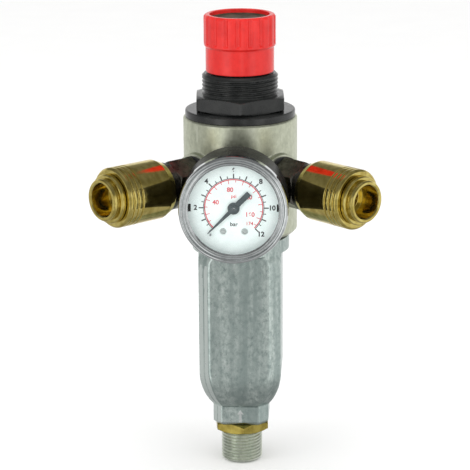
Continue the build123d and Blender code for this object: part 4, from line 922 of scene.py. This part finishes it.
for side, base, gold in (("left", LEFT, left_brass), ("right", RIGHT, right_brass)):
    corner_r = HEX / math.sqrt(3) + 0.05
    turned(
        f"{side}_adapter_turned",
        [(3.5, 16.0, 0), (6.0, 16.0, 0), (6.58, 16.6, 0), (6.58, 25.3, 0), (HEX / 2 - 0.4, 25.3, 0)]
        + [(HEX / 2 + (corner_r - HEX / 2) * t, 25.3 + 0.8 * t, 0) for t in steps(0, 1, 6)]
        + [(corner_r, d, 0) for d in steps(26.4, 37.2, 6)]
        + [(corner_r + (HEX / 2 - corner_r) * t, 37.6 + 0.8 * t, 0) for t in steps(0, 1, 6)]
        + [(8.5, 38.45, 0.1), (9.5, 39.4, 0.2), (9.5, 45.0, 0.2), (7.0, 45.0, 0),
           (7.0, 49.6, 0.1), (4.6, 49.6, 0.1), (4.6, 39.0, 0), (3.5, 39.0, 0)],
        base, "root", [f"{side}_adapter"], "oxidised_brass", adapter_look,
        shape=adapter_shape, turns=180, crease=28,
    )
    turned(
        f"{side}_nose_tube_turned",
        [(7.05, 45.0, 0), (8.6, 45.0, 0.1), (8.6, 66.2, 0.05), (9.4, 66.25, 0.15),
         (9.4, 68.0, 0.35), (9.0, 68.3, 0.2), (7.7, 68.3, 0.15), (7.65, 68.8, 0.15),
         (8.1, 69.3, 0.3), (8.1, 70.3, 0.4), (7.65, 70.8, 0.25), (6.8, 70.8, 0.2),
         (6.35, 70.35, 0.2), (6.35, 62.0, 0.1), (4.1, 62.0, 0.3), (4.1, 60.0, 0.05),
         (5.3, 60.0, 0), (5.3, 58.0, 0), (4.1, 58.0, 0.05), (4.1, 56.7, 0.2),
         (6.2, 56.7, 0), (6.2, 49.6, 0), (7.05, 49.6, 0)],
        base, "root", [f"{side}_nose_tube"], "polished_brass", gold, turns=144, crease=50,
    )
    grooves = []
    for groove in GROOVES:
        grooves += [(SLEEVE_R, groove, 0.28), (GROOVE_FLOOR_R, groove + 0.15, 0.15),
                    (GROOVE_FLOOR_R, groove + 0.6, 0.15), (SLEEVE_R, groove + 0.8, 0.28)]
    turned(
        f"{side}_sleeve_turned",
        [(9.75, 42.3, 0.05), (10.4, 42.3, 0.15), (10.7, 42.9, 0.3), (SLEEVE_R, 45.3, 0.5)]
        + grooves
        + [(SLEEVE_R, 65.1, 0.5), (10.8, 65.9, 0.3), (8.85, 65.9, 0.1), (8.85, 58.2, 0),
           (9.75, 58.2, 0)],
        base, f"{side}_sleeve", [f"{side}_sleeve"], "polished_brass", gold, turns=168, crease=50,
    )
    turned(
        f"{side}_check_valve_turned",
        [(0, 56.1), (2.2, 56.1, 0.2), (2.7, 56.7, 0.2), (5.6, 56.7, 0.15), (5.6, 54.5, 0.15),
         (2.2, 54.5, 0.1), (2.2, 48.2, 0.2), (0, 48.2)],
        base, f"{side}_check_valve", [f"{side}_check_valve"], "satin_brass", gold,
        turns=96, crease=50,
    )
    coiled(f"{side}_sleeve_spring", base, low=45.0, high=58.2, radius=9.2, wire=0.4, turns=6,
           look=wire_look)
    coiled(f"{side}_check_spring", base, low=39.0, high=54.5, radius=3.4, wire=0.35, turns=7,
           look=wire_look)

# ---- Surroundings -------------------------------------------------------------------------

scene = bpy.context.scene

floor_mesh = bpy.data.meshes.new("floor")
FLOOR_R, FLOOR_LEVEL, FLOOR_SIDES = 6, -0.0004, 96  # metres, metres
rim = [(FLOOR_R * math.cos(a), FLOOR_R * math.sin(a), FLOOR_LEVEL)
       for a in steps(0, 2 * math.pi, FLOOR_SIDES)[:-1]]
floor_mesh.from_pydata(rim, [], [list(range(FLOOR_SIDES))])
floor = bpy.data.objects.new("floor", floor_mesh)
scene.collection.objects.link(floor)
paper = Graph("pale_paper")
paper_tone = paper.ramp(paper.noise(40, detail=3),
                        [(0.3, (0.955, 0.955, 0.95)), (0.7, (0.97, 0.97, 0.965))])
floor_mesh.materials.append(paper.finish(paper_tone, 0.9))
floor.visible_glossy = False
floor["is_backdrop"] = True

world = bpy.data.worlds.new("studio")
scene.world = world
world.use_nodes = True
tree = world.node_tree
background = tree.nodes["Background"]
background.inputs["Color"].default_value = (1, 1, 1, 1)


def sky_node(kind, links=(), **values):
    """A node of the studio's shader, with (socket, source) links."""
    made = tree.nodes.new(kind)
    for key, value in values.items():
        setattr(made, key, value)
    for socket, source in links:
        if isinstance(source, float):
            made.inputs[socket].default_value = source
        else:
            tree.links.new(source, made.inputs[socket])
    return made


def sky_ramp(source, low, high, stops):
    """A brightness that follows a value: stops are (value, brightness)."""
    unit = sky_node("ShaderNodeMapRange", [
        ("Value", source), ("From Min", float(low)), ("From Max", float(high))])
    made = sky_node("ShaderNodeFloatCurve", [("Value", unit.outputs["Result"])])
    points = made.mapping.curves[0].points
    while len(points) < len(stops):
        points.new(0.5, 0.5)
    for point, (value, brightness) in zip(points, stops):
        point.location = ((value - low) / (high - low), brightness / 2)
        point.handle_type = "AUTO_CLAMPED"
    made.mapping.update()
    doubled = sky_node("ShaderNodeMath", [(0, made.outputs["Value"]), (1, 2.0)],
                       operation="MULTIPLY")
    return doubled.outputs[0]


# What polished metal sees: a dark room behind the camera, a window to the left and one to the
# right of it, a narrow light near it, and white all round the back
place = sky_node("ShaderNodeTexCoord")
parts = sky_node("ShaderNodeSeparateXYZ", [("Vector", place.outputs["Generated"])])
ahead = sky_node("ShaderNodeMath", [(0, parts.outputs["Y"]), (1, -1.0)], operation="MULTIPLY")
azimuth = sky_node("ShaderNodeMath", [(0, parts.outputs["X"]), (1, ahead.outputs[0])],
                   operation="ARCTAN2")
PI = math.pi
around = sky_ramp(azimuth.outputs[0], -PI, PI, [
    (-PI, 1.0), (-1.9, 0.6), (-1.5, 0.5), (-1.2, 0.6), (-0.95, 1.0), (-0.74, 1.4),
    (-0.48, 0.85), (-0.28, 0.48), (0.02, 0.44), (0.1, 0.8), (0.17, 1.1), (0.25, 0.8),
    (0.34, 0.46), (0.55, 0.6), (0.85, 1.2), (1.1, 0.7), (1.4, 0.8), (1.7, 0.75),
    (2.2, 0.8), (PI, 1.0)])
height = parts.outputs["Z"]
level = sky_ramp(height, -1, 1, [
    (-1, 0.0), (-0.7, 0.0), (-0.42, 1.0), (0.08, 1.0), (0.3, 0.85), (0.45, 0.15), (1, 0.0)])
away = sky_ramp(height, -1, 1, [
    (-1, 0.35), (-0.5, 0.42), (0.2, 0.3), (0.5, 0.14), (0.8, 0.16), (1, 0.4)])
studio = sky_node("ShaderNodeMix", [("Factor", level), (2, away), (3, around)],
                  data_type="FLOAT")
rays = sky_node("ShaderNodeLightPath")
# Matt surfaces see a room that is brighter in front than behind, which shades their sides
soft = sky_node("ShaderNodeMath", [(0, ahead.outputs[0]), (1, 0.55), (2, 1.02)],
                operation="MULTIPLY_ADD")
metal = sky_node("ShaderNodeMix", [
    ("Factor", rays.outputs["Is Glossy Ray"]), (2, soft.outputs[0]), (3, studio.outputs[0])],
    data_type="FLOAT")
seen = sky_node("ShaderNodeMix", [
    ("Factor", rays.outputs["Is Camera Ray"]), (2, metal.outputs[0]), (3, 1.0)], data_type="FLOAT")
tree.links.new(seen.outputs[0], background.inputs["Strength"])

LOW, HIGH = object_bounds()
MIDDLE = (LOW + HIGH) / 2


def softbox(name, azimuth, elevation, distance, width, height, radiance):
    """An area light aimed at the object's middle; azimuth 0 is in front, 90 to the right."""
    a, e = math.radians(azimuth), math.radians(elevation)
    out = Vector((math.sin(a) * math.cos(e), -math.cos(a) * math.cos(e), math.sin(e)))
    light = bpy.data.lights.new(name, "AREA")
    light.shape = "RECTANGLE"
    light.size, light.size_y = width, height
    light.energy = radiance * math.pi * width * height
    lamp = bpy.data.objects.new(name, light)
    lamp.location = MIDDLE + out * distance
    lamp.rotation_euler = (-out).to_track_quat("-Z", "Y").to_euler()
    lamp.visible_glossy = False
    scene.collection.objects.link(lamp)


softbox("softbox_top", 0, 80, 0.9, 0.8, 0.8, 1.0)
softbox("softbox_left", -50, 25, 0.9, 0.4, 0.8, 1.0)
softbox("softbox_right", 50, 25, 0.9, 0.4, 0.8, 0.8)

# ---- Camera -------------------------------------------------------------------------------

CAMERA_DISTANCE, TARGET_HEIGHT = 0.824858, 94.944  # metres, millimetres
camera = bpy.data.objects.new("camera", bpy.data.cameras.new("camera"))
scene.collection.objects.link(camera)
camera.data.sensor_width = 36
camera.data.lens = 156.87
camera.data.shift_x = -0.0125
camera.data.clip_start, camera.data.clip_end = 0.05, 20
azimuth, elevation, roll = math.radians(3.0), math.radians(15.28), math.radians(-0.33)
back = Vector((math.sin(azimuth) * math.cos(elevation),
               -math.cos(azimuth) * math.cos(elevation), math.sin(elevation)))
right = Vector((math.cos(azimuth), math.sin(azimuth), 0))
upward = back.cross(right)
tilted_right = right * math.cos(roll) + upward * math.sin(roll)
tilted_up = upward * math.cos(roll) - right * math.sin(roll)
target = Vector((0, 0, TARGET_HEIGHT)) * MM
camera.matrix_world = Matrix.Translation(target + back * CAMERA_DISTANCE) @ Matrix(
    (tilted_right, tilted_up, back)).transposed().to_4x4()
scene.camera = camera

scene.view_settings.view_transform = "Standard"
scene.view_settings.look = "None"
scene.cycles.use_denoising = True

low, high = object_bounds()
